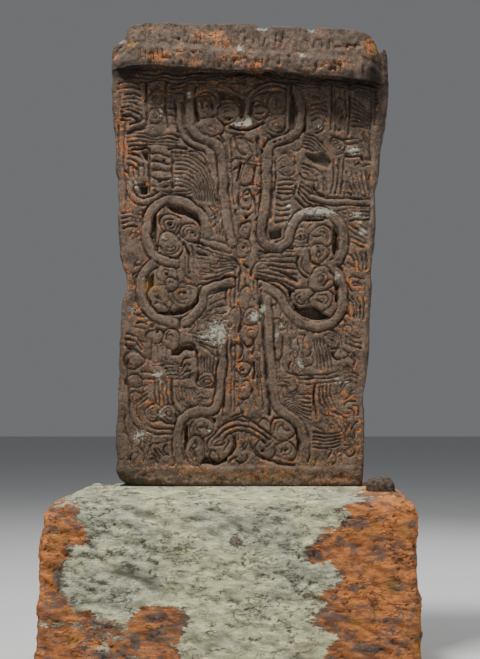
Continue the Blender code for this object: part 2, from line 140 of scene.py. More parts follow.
TOP = [
    (-42.4, 141.6), (-41.4, 142.8), (-39.2, 143.7), (-38, 145), (-37.7, 147.8), (-36.4, 148.6),
    (-24, 148.8), (-14, 148.3), (0, 148.4), (4, 148.2), (5.6, 146.8), (7, 146.8), (10, 147.5), (17, 147.3),
    (20, 147), (22.3, 146.2), (23.4, 147.1), (30, 146.8), (34, 146.5), (37, 146.2), (39, 145.6),
    (41.5, 144.5), (43, 142.5), (44, 139.7), (45.2, 140.4), (46.2, 141.6), (47, 140.4)]
CORNICE_LOW = [
    (-43, 134.4), (-39, 135), (-34, 135.3), (-28, 135.1), (-20, 134.4), (-10, 134.2), (-2, 134), (7, 134.1),
    (12, 133.9), (18, 133), (30, 132.2), (39, 131.3), (48, 130.9)]
# How far the cornice's edge hangs below the line where it springs, and how far it stands out.
CORNICE_DROP = [
    (-43, 0.2), (-38, 0.4), (-34, 0.7), (-20, 0.9), (-10, 1.2), (-2, 1.5), (12, 1.7), (48, 1.8)]
CORNICE_REACH = [
    (-43, 0.3), (-40, 0.9), (-37, 2.2), (-34, 4.0), (-30.5, 5.5), (0, 5.6), (20, 5.8), (34, 5.8), (38, 5.4),
    (41, 4.4), (43.2, 2.4), (44.6, 0.2), (48, -0.6)]


def left_side(up):
    """The slab's left side at each height, in centimetres."""
    return edge_line(LEFT, up, SIDE_WEAR, 11)


def right_side(up):
    """The slab's right side at each height, in centimetres."""
    return edge_line(RIGHT, up, SIDE_WEAR, 12)


def face_grid(finer):
    """Across and up, in centimetres, and how far forward, for each point of the front.

    Columns run straight from the left side to the right one. Rows share out the height to
    the cornice, then turn out by its reach, then share out the height to the worn top.
    """
    share = np.linspace(0, 1, finer * SLAB_COLUMNS + 1)[None, :]
    at_lip = CORNICE_START + LIP_LENGTH * share
    lip = edge_line(CORNICE_LOW, at_lip, LIP_WAVE, 5, CORNICE_WAVE_SIZE)
    reach = edge_line(CORNICE_REACH, at_lip, REACH_WAVE, 6, CORNICE_WAVE_SIZE)
    drop = edge_line(CORNICE_DROP, at_lip, DROP_WAVE, 8, CORNICE_WAVE_SIZE)
    crown = edge_line(TOP, CORNICE_START + CROWN_LENGTH * share, CROWN_WEAR, 7, CROWN_WEAR_SIZE)
    climb = np.linspace(0, 1, finer * FIELD_ROWS + 1)[:, None]
    turn = np.linspace(0, 1, finer * LIP_ROWS + 1)[1:, None]
    rise = np.linspace(0, 1, finer * CORNICE_ROWS + 1)[1:, None]
    edge = lip - drop
    up = np.vstack([climb * lip, lip - drop * (0.35 * turn + 0.65 * turn ** 2),
                    edge + rise * (crown - edge)])
    bulge = 1 + 0.10 * ease(rise, 0.0, 0.16) - 0.12 * ease(rise, 0.2, 0.6) - 0.24 * ease(rise, 0.5, 1.0)
    forward = np.vstack([0 * climb * lip, turn * reach, reach * bulge])
    left, right = left_side(up), right_side(up)
    return left + share * (right - left), up, forward


NO_CUT = 9.0
BAND_NARROWING = 0.94


class Carving:
    """The face while it is carved: how deep each point lies behind the border, in cm, and how
    far it is from the nearest cut's middle line, farther where the stone is more worn."""

    def __init__(self, across, up):
        self.x, self.z = across, up
        self.depth = np.zeros_like(across)
        self.line = np.full_like(across, NO_CUT)
        self.worn = np.clip(0.92 + 0.75 * grain(across, up, self.depth, 4.2, 37, 3, 0.6), 0.35, 1.3)

    def near(self, path, reach):
        """The points within reach of a path's box, their distance, signed side and if past an end.

        The distance is to the nearest of the path's straight stretches. The side is the
        distance with the sign of the turn from the stretch to the point.
        """
        path = np.asarray(path, dtype=float)
        low, high = path.min(axis=0) - reach, path.max(axis=0) + reach
        where = np.nonzero((self.x > low[0]) & (self.x < high[0])
                           & (self.z > low[1]) & (self.z < high[1]))
        x, z = self.x[where][:, None], self.z[where][:, None]
        start, run = path[:-1], np.diff(path, axis=0)
        along = (x - start[:, 0]) * run[:, 0] + (z - start[:, 1]) * run[:, 1]
        along /= np.maximum((run ** 2).sum(axis=1), 1e-9)
        share = np.clip(along, 0, 1)
        aside_x = x - start[:, 0] - share * run[:, 0]
        aside_z = z - start[:, 1] - share * run[:, 1]
        distance = np.hypot(aside_x, aside_z)
        nearest = distance.argmin(axis=1)
        row = np.arange(len(nearest))
        turned = run[nearest, 0] * aside_z[row, nearest] - run[nearest, 1] * aside_x[row, nearest]
        distance = distance[row, nearest]
        past = ((nearest == 0) & (along[:, 0] < 0)) | ((nearest == len(run) - 1) & (along[:, -1] > 1))
        return where, distance, np.where(turned < 0, -distance, distance), past

    def groove(self, path, width=0.8, deep=1.2):
        """Cuts a groove, whose section is a parabola as deep as asked in the middle."""
        where, distance, _, _ = self.near(path, width)
        section = deep * self.worn[where] * (1 - np.minimum(distance / (width / 2), 1) ** 2)
        self.depth[where] = np.maximum(self.depth[where], section)
        self.line[where] = np.minimum(self.line[where], distance / self.worn[where])

    def comb(self, count, first, last, width=0.85, deep=1.15):
        """Cuts evenly spaced grooves, which change from the first path into the last."""
        first, last = even_steps(curve_through(first)), even_steps(curve_through(last))
        for share in np.linspace(0, 1, count):
            self.groove(first + share * (last - first), width, deep)

    def strip(self, path, width=2.4, strands=1, top=0.12, edge=0.9, deep=1.8):
        """Leaves a flat band along a path, with a ditch on either side and a narrow groove
        between its strands.

        The shoulders fall with the eighth power of the distance, the ditch is 1 - |t|^3
        across its width, and a strand's groove is a parabola.
        """
        width *= BAND_NARROWING
        half = width / 2
        where, distance, side, past = self.near(path, half + edge)
        worn = self.worn[where]
        ditch = 1 - np.minimum(np.abs(distance - half - 0.42 * edge) / (0.5 * edge), 1) ** 3
        ditch *= 0.76 * deep * worn * np.where(past, 0, 1)
        beside = 1.15 * np.abs(distance - half - 0.4 * edge) / worn + np.where(past, NO_CUT, 0)
        inside = (distance < half) & ~past
        section = top + 0.14 * worn + 0.08 * (distance / half) ** 8
        within = distance if strands > 1 else NO_CUT
        for strand in range(1, strands):
            from_seam = np.abs(side - width * (strand / strands - 0.5))
            section = np.maximum(section, 1.3 * (1 - (from_seam / 0.42) ** 2))
            within = np.minimum(within, from_seam)
        self.depth[where] = np.where(inside, section, np.maximum(self.depth[where], ditch))
        self.line[where] = np.where(inside, within, np.minimum(self.line[where], beside))

    def lobe(self, x, z, across, up, rings=2, start=0, end=360, top=0.25, edge=0.75, deep=1.25):
        """Leaves an uneven dome inside a groove, with a curl cut in it between two angles.

        The distance from the middle, in shares of the oval, is pressed in and out by two
        waves round it. The curl winds out by one ring a turn.
        """
        dx, dz = self.x - x, self.z - z
        turn = np.degrees(np.arctan2(dz / up, dx / across))
        out = np.hypot(dx / across, dz / up) * (1 + 0.09 * np.cos(np.radians(2 * turn + 47 * x))
                                                + 0.07 * np.cos(np.radians(3 * turn + 31 * z)))
        size = (across + up) / 2
        ditch = deep * self.worn * (1 - np.minimum(np.abs((out - 1) * size - edge / 2) / (edge / 2), 1) ** 2)
        section = top + 0.16 * out ** 3 + 0.12 * self.worn
        swept = (turn - start) % 360
        line = np.minimum(self.line, np.abs((out - 1) * size - 0.4 * edge) / self.worn)
        line[out < 1] = NO_CUT
        for ring in range(rings):
            seam = (ring + 0.45 + swept / 360) / (rings + 0.7)
            aside = np.where((swept <= end - start) & (out < 1), np.abs(out - seam) * size, NO_CUT)
            section = np.maximum(section, 0.85 * self.worn * (1 - (aside / 0.40) ** 2))
            line = np.minimum(line, 1.15 * aside / self.worn)
        self.line = line
        self.depth = np.where(out < 1, section, np.maximum(self.depth, ditch))

    def hollow(self, outline, deep=2.0, wall=0.5):
        """Sinks the inside of an outline, down a wall that eases in over the given width.

        A point is inside where a line from it to the right crosses the outline an odd number
        of times.
        """
        where, distance, _, _ = self.near(list(outline) + [outline[0]], 0.2)
        x, z = self.x[where], self.z[where]
        inside = np.zeros(len(x), dtype=bool)
        for (x0, z0), (x1, z1) in zip(outline, list(outline[1:]) + [outline[0]]):
            crosses = (z0 > z) != (z1 > z)
            at = x0 + (z - z0) * (x1 - x0) / (z1 - z0 if z1 != z0 else 1e-9)
            inside ^= crosses & (x < at)
        section = deep * ease(np.where(inside, distance, 0), 0, wall)
        self.depth[where] = np.maximum(self.depth[where], section)


def curve_through(points, steps=6):
    """A Catmull-Rom curve through the points, as an array. Two points stay a straight line."""
    if len(points) == 2:
        return np.array(points, dtype=float)
    padded = np.array([points[0]] + list(points) + [points[-1]], dtype=float)
    t = np.linspace(0, 1, steps, endpoint=False)[:, None]
    pieces = [0.5 * (2 * b + (c - a) * t + (2 * a - 5 * b + 4 * c - d) * t ** 2
                     + (3 * b - a - 3 * c + d) * t ** 3)
              for a, b, c, d in zip(padded, padded[1:], padded[2:], padded[3:])]
    return np.vstack(pieces + [padded[-1:]])


def even_steps(path, count=14):
    """The path as the same number of points for any path, evenly spaced along it."""
    travelled = np.concatenate([[0], np.cumsum(np.hypot(*np.diff(path, axis=0).T))])
    at = np.linspace(0, travelled[-1], count)
    return np.stack([np.interp(at, travelled, path[:, 0]), np.interp(at, travelled, path[:, 1])], axis=1)


# What was cut where. Combs are rows of grooves: how many, and the first and the last one's path.

COMBS = [
    (5, [(-38.4, 126.2), (-36, 126.6), (-33.4, 125.6)], [(-39.6, 120.6), (-37, 121), (-33, 119.4)]),
    (4, [(-24.2, 125.8), (-22, 126.4), (-20.6, 126.6)], [(-24, 119.6), (-22.4, 119.4), (-20.8, 120.6)]),
    (4, [(-37.4, 113.3), (-33, 113.7), (-29, 112.4), (-24, 113.2), (-20.6, 112.3)],
     [(-37, 109.2), (-33, 109.4), (-29, 109.9), (-24, 109.6), (-19.8, 109.8)]),
    (3, [(-37, 107), (-34.5, 106.2), (-32.4, 104.6)], [(-37.4, 103.4), (-35.4, 102.8), (-33.6, 101)]),
    (4, [(-37, 102.6), (-37, 100.6), (-36.6, 99.4)], [(-32.4, 103.6), (-32, 101.4), (-32.2, 99.6)]),
    (9, [(-21.9, 107.3), (-19, 107.2), (-16, 106), (-13.2, 104), (-10.8, 101), (-9.4, 96), (-8.9, 91)],
     [(-21.8, 96.2), (-20, 96.2), (-18.4, 96), (-17, 95.2), (-16.2, 93.8), (-15.6, 92.4)]),
    (3, [(-26, 94.7), (-23, 94.3), (-16.4, 94.8)], [(-26.4, 93), (-23, 92.8), (-16.4, 92.6)]),
    (5, [(-29.6, 106.6), (-27, 106.8), (-23.6, 105.8)], [(-29.6, 96.6), (-27, 95.8), (-24, 96.4)]),
    (4, [(-30, 127.6), (-28, 127), (-26, 128)], [(-30, 116.6), (-28, 118.4), (-26, 116.6)]),
    (3, [(-34, 133.4), (-30, 132.6), (-26, 133.4), (-20, 132.8), (-14, 133.4), (-6, 133.2), (2, 133.4)],
     [(-33.4, 130.6), (-31, 130.4), (-27, 131.6), (-23, 130.2), (-19, 130.4), (-13, 131.8), (-6, 131.6)]),
    (3, [(-23.6, 129.4), (-20, 129.8), (-16, 131.2), (-10, 131)],
     [(-24, 127.2), (-21, 127), (-18, 128.4), (-14, 129)]),
    (4, [(-2, 133), (3, 132.6), (9, 130.8)], [(6, 134), (9, 133.4), (13, 131.6)]),
    (3, [(9, 132.9), (14, 131.8), (20, 131.2), (27, 130.9)], [(12, 130.6), (18, 129.4), (25, 128.8)]),
    (3, [(21, 132), (29, 131), (36, 130.4), (44, 128.4)], [(26, 129.6), (31, 129), (36, 128), (43, 126)]),
    (3, [(-40, 131.8), (-37, 132.4), (-34, 131.6)], [(-40.6, 127.8), (-37, 128.6), (-33.6, 127.8)]),
    (2, [(1.4, 125.6), (4, 128.4), (8, 129.6), (12, 129), (14, 127.4)],
     [(3, 125), (5, 126.4), (8, 127.2), (11, 127), (13.4, 125.6)]),
    (4, [(22, 122.8), (24.6, 123.2), (27.4, 122.4)], [(22, 117.6), (24.4, 118.6), (27.2, 117.2)]),
    (7, [(35.6, 125), (38.4, 123), (41.4, 119.8)], [(35.4, 116.2), (37.6, 116), (40.4, 115)]),
    (4, [(34.8, 130), (39, 128.6), (43, 126.8)], [(36.4, 126.6), (40, 124.8), (43.4, 123.4)]),
    (3, [(29.6, 128), (29.8, 121), (30, 114.4)], [(33.2, 128), (33.4, 121), (33, 114.6)]),
    (5, [(19.8, 113.2), (23, 112.4), (26, 109.8), (28.4, 107.4)], [(19, 109), (21, 108.6), (22.6, 107.8)]),
    (4, [(28.4, 113), (31, 112), (37.4, 111.8)], [(30, 107), (33, 106.8), (37.6, 107)]),
    (3, [(29.2, 105.6), (29.4, 100), (28.6, 94)], [(32.6, 105), (32.4, 100), (31.6, 94)]),
    (5, [(33.4, 101), (34.4, 97.4), (36.2, 93.6)], [(39.4, 101.4), (40.4, 97.6), (41, 93)]),
    (4, [(17.8, 94.4), (19.2, 92), (22.2, 90.1)], [(18.8, 97.6), (22, 95.4), (24, 92.2), (26.6, 91)]),
    (5, [(30.6, 90.3), (36, 90.4), (41, 90.2)], [(33.4, 84.6), (37, 85.4), (40.6, 85.4)]),
    (4, [(34.2, 83.8), (37, 82.4), (40, 80)], [(34.8, 78.2), (36.8, 77.2), (38.8, 76)]),
    (3, [(19, 103.6), (23, 102.2), (25.8, 99.4), (26.2, 95)],
     [(19.4, 100.6), (21.6, 99.6), (22.8, 97), (23, 95)]),
    (4, [(-39.2, 87.6), (-36, 88), (-33.6, 87)], [(-38.6, 82.8), (-36, 83.2), (-34.4, 82.8)]),
    (7, [(-14.8, 76.4), (-10, 75), (-5.4, 73.4), (-2, 72.4)],
     [(-14, 65.8), (-9.6, 66.8), (-5.4, 68.2), (-2, 69.2)]),
    (7, [(5, 73.9), (10, 74.8), (16.4, 75.2)], [(4.6, 67.4), (9, 66.4), (14, 64.8), (17.8, 63.4)]),
    (3, [(-13.6, 79.6), (-8, 78.4), (-3.4, 76.8)], [(-16.6, 77), (-16, 74.4), (-15.6, 71)]),
    (5, [(-11.4, 57.4), (-8, 59), (-6, 59.8)], [(-14.6, 49.6), (-9.4, 50.6), (-4.6, 51)]),
    (4, [(-17.6, 49), (-13, 48.2), (-8, 48.6)], [(-14, 45), (-11, 43), (-8.4, 41)]),
    (5, [(-13.4, 41), (-13.4, 38), (-13.2, 36.4)], [(-9.4, 41), (-9.6, 38), (-9.8, 36.4)]),
    (6, [(-26, 39.6), (-23.4, 40), (-20.6, 38.9)], [(-24, 34.2), (-22, 34.1), (-20.2, 34.2)]),
    (4, [(-19.9, 38), (-18.8, 40.4), (-16.8, 40.8)], [(-19.4, 33.8), (-18.4, 34.8), (-16.8, 34.4)]),
    (7, [(-21.8, 31.8), (-21.4, 28.6), (-20.2, 26), (-18.2, 23.6)],
     [(-17.4, 31.2), (-15.4, 30), (-14.6, 27.6), (-12.6, 25.4)]),
    (3, [(-27.4, 44.4), (-27.4, 41), (-27.4, 39.8)], [(-24.4, 44.4), (-24.6, 41), (-24.6, 39.8)]),
    (4, [(-28, 33), (-28, 29), (-28, 25.8)], [(-24.2, 33), (-24.2, 29), (-24.2, 25.4)]),
    (4, [(-31, 48.2), (-28.4, 47.2), (-26.4, 48)], [(-29.4, 44.8), (-27.4, 44.6), (-25.4, 45.2)]),
    (3, [(-37.4, 48.4), (-34, 47.4), (-32, 44.6)], [(-37.6, 44.8), (-35, 44.2), (-32.8, 42.4)]),
    (4, [(-35.8, 31.4), (-33, 31.4), (-30, 32.4)], [(-35.4, 26), (-33.6, 25.6), (-30.6, 28)]),
    (5, [(22.4, 46.4), (23.8, 42), (24.2, 37)], [(26.6, 46.6), (28, 42), (28.4, 37.4)]),
    (3, [(13, 38.8), (13.8, 36.6), (16, 35.7), (26, 35.3), (31, 36.4)],
     [(19.8, 32.5), (22, 32.4), (27, 33), (31.4, 33.4)]),
    (7, [(12.8, 28.8), (15, 29.8), (18, 29), (21.8, 29.2)],
     [(13.4, 25.8), (16, 24.4), (19, 22.2), (21.6, 20.6)]),
    (5, [(22.2, 17), (27, 16.6), (31.8, 17.4)], [(22, 12.3), (26, 12), (31, 13)]),
    (4, [(24.6, 31.6), (24.6, 27), (26, 24.4)], [(28, 32), (28.4, 28), (29.4, 25)]),
    (3, [(12.6, 47.6), (13, 44), (12.4, 40.4)], [(17.4, 47), (18, 44), (17.2, 40.6)]),
    (4, [(33, 60.4), (35.4, 58), (36, 53.6)], [(38.6, 60.4), (39, 57), (38.6, 53)]),
    (3, [(33.2, 49.4), (35.4, 47.4), (38, 47)], [(33, 45.4), (35, 44.6), (38, 43.8)]),
    (4, [(33.6, 74.6), (36, 72), (36.4, 69)], [(39.6, 74.6), (40, 71.6), (39.6, 69)]),
    (5, [(10.8, 92.4), (13, 91.6), (15.4, 92.6)], [(10.6, 84.6), (13, 85), (15, 85.4)]),
    (4, [(11, 98), (14, 98.4), (16.8, 97.6)], [(11, 94), (13.6, 93.6), (16, 94)]),
    (3, [(-11, 90), (-9, 86), (-8.6, 81)], [(-8.6, 92), (-7.2, 86), (-6.6, 80)])]
# Grooves: width, depth, path.
GROOVES = [
    (0.8, 1.4, [(-14, 125.5), (-11.4, 126), (-10, 124), (-10, 121)]),
    (0.8, 1.4, [(-13.3, 124.6), (-13.2, 122)]), (0.8, 1.2, [(-5.8, 118.4), (-3.4, 118.8)]),
    (0.8, 1.3, [(3.4, 122.7), (5.4, 122.9), (7.4, 122.3)]), (0.9, 1.9, [(4.2, 120.4), (6.6, 120.6)]),
    (0.9, 1.6, [(8.6, 113.4), (10, 112.6), (12, 112.4), (14, 112.9)]),
    (1.1, 2.1, [(-3.8, 115.6), (-2, 115), (0, 114.7), (2, 114.9), (4, 115.7), (5.6, 116.6), (7.2, 117)]),
    (0.8, 1.3, [(2, 125), (5, 126.2), (9, 127), (13, 127.2)]),
    (0.9, 1.5, [(3, 129), (7, 130.5), (11, 130.7), (15, 130)]),
    (0.7, 1.1, [(-5.8, 114.4), (-3, 113.4), (0.4, 113.2)]), (0.8, 1.5, [(15.2, 129), (15.3, 114.4)]),
    (1.3, 2.0, [(-31.6, 130), (-31.3, 124), (-31.0, 116.4)]),
    (1.2, 2.0, [(-25.2, 131), (-25, 123), (-24.2, 115.6)]),
    (1.0, 1.8, [(-39.2, 119.4), (-36.4, 119.3), (-34.6, 118.2)]),
    (0.9, 1.8, [(-37.4, 114), (-34.5, 114.6), (-31.4, 115.3)]), (0.9, 1.4, [(-39.4, 118), (-36.6, 117.8)]),
    (1.1, 1.9, [(-36, 108.1), (-33, 108.4), (-31.2, 108.8), (-30, 107)]),
    (1.1, 1.8, [(-24, 108.3), (-21.8, 109), (-18.4, 108.8)]),
    (1.2, 1.9, [(-30.4, 107), (-30.4, 100), (-30.2, 94.4)]),
    (1.3, 2.1, [(-22.7, 108), (-22.8, 101), (-22.5, 95.6)]), (0.8, 1.4, [(-38.4, 101.4), (-37, 100.2)]),
    (0.9, 1.5, [(-35.4, 97), (-33.6, 96.8), (-32, 97)]),
    (0.7, 1.0, [(-38, 118), (-38.4, 110), (-38.3, 100), (-38, 89)]),
    (0.7, 1.0, [(-40.4, 116), (-40.2, 106)]), (0.7, 1.2, [(-29.4, 101), (-26.4, 101.6)]),
    (1.0, 1.7, [(-9.9, 108.9), (-8.8, 107), (-8.3, 103), (-7.9, 98), (-7.3, 93)]),
    (0.7, 1.1, [(-5.2, 110), (-5, 104), (-4.6, 97), (-3.9, 88)]),
    (0.7, 1.1, [(-3.8, 112), (-3.7, 104), (-3.4, 96), (-2.9, 90)]),
    (0.7, 1.2, [(-18.4, 107.9), (-15, 107.5), (-12.6, 105.6), (-11.4, 102.6)]),
    (0.9, 1.6, [(-13, 112.6), (-11, 112.3), (-8, 113), (-6.8, 112), (-6, 110.7)]),
    (1.2, 1.9, [(-2.7, 112.6), (-2.2, 110), (-1.2, 107.8), (-0.4, 106.9), (0.9, 106.6)]),
    (1.0, 1.9, [(4.7, 112.4), (4.7, 106)]),
    (0.7, 1.1, [(-1.4, 112.4), (1.4, 110.6), (3.2, 107), (3.6, 105)]),
    (0.7, 1.1, [(-0.4, 112.6), (3.4, 110.4)]), (0.6, 1.1, [(-1, 104.6), (6, 104.4)]),
    (0.6, 1.1, [(0, 103.3), (6.4, 103.1)]), (0.8, 1.8, [(-0.8, 103.6), (-1.3, 101), (-1.7, 98.3)]),
    (1.0, 1.9, [(3.9, 102.7), (3.9, 100), (3.4, 97)]), (0.8, 1.3, [(-1, 96.6), (3, 96.9), (5.6, 96.2)]),
    (0.8, 1.7, [(-1.2, 95.6), (-1.5, 92), (-1.1, 88.6)]), (0.9, 1.8, [(3.3, 93), (4.2, 90), (4.2, 87)]),
    (0.7, 1.1, [(5.6, 95), (5.6, 84)]), (0.7, 1.1, [(-3, 84), (-3, 76)]),
    (0.6, 1.0, [(5.2, 112), (5.6, 105)]), (0.6, 1.0, [(7, 108), (7, 96), (6.4, 86)]),
    (0.6, 1.0, [(8.1, 108), (8.1, 96), (7.4, 84)]),
    (1.1, 1.8, [(9.9, 107), (10.7, 104), (10.7, 100), (10.2, 96), (9.4, 92), (9, 86)]),
    (1.1, 2.0, [(-15.8, 78), (-13, 77.3), (-9.6, 76.2), (-6, 75), (-3.8, 74.2)]),
    (1.0, 1.8, [(-14.6, 64.3), (-11.6, 64.9), (-8, 65.9), (-5.6, 67), (-2.2, 66.5)]),
    (1.1, 2.0, [(5.4, 75.3), (7.2, 74.7), (10, 75.3), (13, 76.1), (16, 76.3)]),
    (1.0, 2.0, [(3.8, 66.3), (8, 65.8), (11.4, 65), (14, 63.4), (16.8, 62.3)]),
    (0.9, 1.7, [(-13.8, 74), (-10.4, 73.9)]), (0.9, 1.7, [(-13.8, 68.4), (-9.6, 68.8)]),
    (1.0, 1.8, [(11.8, 68.3), (17, 66.1)]), (0.8, 1.6, [(6, 71.2), (9.6, 70)]),
    (0.9, 1.8, [(0.1, 70.7), (1.4, 69.9)]), (0.8, 1.4, [(-3.6, 73), (-1.6, 71), (-0.6, 67.6)]),
    (0.8, 1.3, [(2.4, 67), (3, 70), (5.4, 72.4)]), (0.7, 1.2, [(-2.4, 67.6), (-3, 70), (-5, 72)]),
    (0.9, 1.7, [(-10.6, 61), (-8, 62), (-5.8, 63)]), (0.9, 1.8, [(-5.5, 62.6), (-5.5, 57.4)]),
    (0.7, 1.3, [(-4, 65), (-4, 57)]), (0.8, 1.5, [(-2.5, 66.4), (-2.5, 58)]),
    (0.7, 1.3, [(-1.2, 68), (-1.3, 62)]), (0.7, 1.4, [(4.5, 66), (4.8, 58)]),
    (0.6, 1.2, [(3.3, 65.4), (3.4, 60.4)]), (0.6, 1.1, [(0.6, 66.4), (0.8, 64)]),
    (0.7, 1.2, [(5.8, 62.6), (6.1, 57)]),
    (1.0, 1.8, [(-6.8, 46.4), (-7.5, 42), (-8.3, 38), (-8.9, 32), (-9.2, 29)]),
    (1.6, 2.1, [(-5.3, 47), (-5.1, 40), (-5.3, 36), (-6, 30), (-6.4, 22.4)]),
    (0.6, 1.1, [(-3.7, 48), (-3.6, 36), (-3.8, 23)]), (0.7, 1.2, [(-2.6, 46), (-2.5, 36), (-2.6, 23.4)]),
    (0.9, 1.8, [(-0.7, 45.4), (-0.2, 43.4), (-0.9, 41)]), (0.8, 1.6, [(-1.2, 58), (-0.6, 54), (-1.4, 49)]),
    (0.8, 1.5, [(3.2, 47), (3.6, 44), (3, 42.4)]), (1.1, 2.0, [(3.3, 39.6), (3.5, 37), (3.4, 34)]),
    (1.1, 2.0, [(3, 30.6), (3.6, 27.6), (4.2, 25)]),
    (1.9, 2.2, [(5.6, 64), (5.7, 56), (6.5, 48), (6.8, 42), (7.2, 36), (7.9, 30), (8.5, 26), (8.7, 22.4)]),
    (0.6, 1.1, [(5.2, 41), (5.2, 36), (5.8, 30), (6.4, 24)]), (0.6, 1.1, [(4.4, 40.6), (4.6, 34), (5, 28)]),
    (0.8, 1.5, [(10.1, 52), (10.2, 42), (10.9, 36), (11.5, 30), (12, 27.4)]),
    (0.6, 1.1, [(11.6, 40), (12, 34), (12.6, 30)]), (0.8, 1.6, [(-2.2, 33.3), (-1.4, 33)]),
    (0.7, 1.2, [(-3, 38), (-0.6, 35.8), (1.6, 35.4)]), (0.7, 1.2, [(-1, 25), (0, 22.6)]),
    (0.9, 1.6, [(-3.8, 21.8), (-1.4, 22.6), (0, 23.4)]),
    (1.2, 2.0, [(0.1, 21.8), (2, 21), (5, 19), (7, 17.3), (9, 15.4)]),
    (0.8, 1.5, [(-8, 18.6), (-5, 20.2), (-2, 21.4), (0, 22)]),
    (1.1, 1.9, [(20.2, 124), (20.3, 118), (20, 113.6)]),
    (1.2, 2.0, [(28.7, 130), (28.7, 122), (28.5, 115)]),
    (1.2, 2.0, [(34.6, 130), (34.6, 122), (34.2, 113.4)]),
    (0.9, 1.4, [(41.6, 130), (41.6, 120), (41.2, 112), (41.3, 104.8)]),
    (0.8, 1.2, [(42.6, 128), (42.6, 116)]), (0.7, 1.1, [(40.9, 100), (41, 92), (40.8, 86)]),
    (1.2, 2.0, [(33, 105.8), (36, 105.8), (38, 106), (39, 104.6)]), (1.0, 1.8, [(17, 106), (17.2, 103.4)]),
    (1.1, 2.0, [(17, 96.4), (16.8, 93.2), (18, 91), (20, 89.2)]),
    (1.2, 2.0, [(22.8, 96), (24, 94), (26.2, 93.2)]), (1.0, 1.8, [(34, 92.2), (37.4, 92)]),
    (0.9, 1.6, [(33.8, 94.2), (35, 93.6)]), (0.8, 1.4, [(23, 102.6), (26.4, 99.6), (27.4, 95)]),
    (1.0, 1.8, [(10.5, 109.1), (13, 109.9), (16.2, 111)]),
    (0.8, 1.4, [(8, 113.6), (10, 112.4), (13, 113), (15.2, 114.6)]),
    (1.1, 2.0, [(30, 70.6), (32.2, 67.4), (34.2, 63.8), (35.2, 62.3)]), (0.7, 1.2, [(33.8, 61), (34, 55)]),
    (1.0, 1.8, [(17.8, 73.4), (17.5, 70.6), (18.6, 68), (20.6, 66.4)]),
    (0.7, 1.2, [(19.2, 73), (19.2, 70.6), (20.4, 68.4), (22, 67.4)]),
    (1.1, 1.9, [(21.5, 73.6), (22.4, 71.8), (25.2, 70.9)]), (0.9, 1.6, [(23.6, 59.4), (25.4, 58.6)]),
    (1.0, 1.9, [(-19.2, 78), (-18, 75.6), (-17.3, 72.6), (-17.2, 68.2)]),
    (0.7, 1.2, [(-20.6, 73.6), (-20.5, 70)]), (1.2, 2.0, [(-29.4, 46.6), (-29.4, 43.4), (-29.5, 40)]),
    (1.1, 1.9, [(-36.8, 43.8), (-34, 43), (-32, 41.4), (-30, 40.4)]),
    (1.2, 2.0, [(-19.4, 45.3), (-16.6, 45.6), (-15.2, 43.4), (-14.5, 40), (-14.5, 33.4)]),
    (1.1, 1.9, [(-31.6, 34), (-27.8, 34)]), (0.8, 1.3, [(-32.4, 36.2), (-28, 36.3)]),
    (1.3, 2.0, [(-22.7, 34.2), (-22.9, 28), (-22.4, 25.6), (-20.3, 23), (-19.8, 21.8)]),
    (0.9, 1.6, [(-36.9, 40), (-36.7, 30), (-36.2, 23), (-34.6, 19.4), (-32, 17.6), (-28, 16.6),
     (-23, 16.5)]),
    (1.0, 1.7, [(-34.2, 27), (-33.8, 23), (-32.4, 20.4), (-30, 18.8), (-27, 18.2), (-22.6, 18.3)]),
    (0.9, 1.5, [(-31.8, 24), (-30.8, 21.2), (-29, 20.4), (-25.8, 20.8), (-24, 20), (-21.4, 20.2)]),
    (0.8, 1.3, [(-38, 22), (-37.4, 17), (-35.4, 12.6)]),
    (1.3, 2.1, [(23, 32.4), (22.8, 28), (23, 24), (23.6, 21)]), (1.0, 1.8, [(28.4, 43.6), (30, 43.9)]),
    (1.3, 2.0, [(28.7, 42.4), (29.3, 40.8), (31.2, 40.2)]), (1.0, 1.7, [(32, 43.3), (34.4, 42.4)]),
    (0.9, 1.5, [(24, 49), (28, 49.6), (31.4, 48), (31.8, 44.6)]), (0.8, 1.4, [(22.2, 19.2), (25, 17.8)]),
    (1.0, 1.8, [(20, 34.2), (23, 34.3)]), (0.7, 1.2, [(14, 31), (15.6, 30.2), (17.6, 31.4)]),
    (0.9, 1.6, [(32.6, 55.4), (34.6, 54.2)]), (1.6, 2.0, [(4.4, 9.3), (8, 8.2), (12, 6.9), (16.4, 6.6)]),
    (1.0, 1.7, [(2.4, 14), (3.2, 11), (4.4, 9.4)]), (1.5, 2.0, [(-2.8, 15.4), (-2.6, 12), (-4.2, 9.4)])]
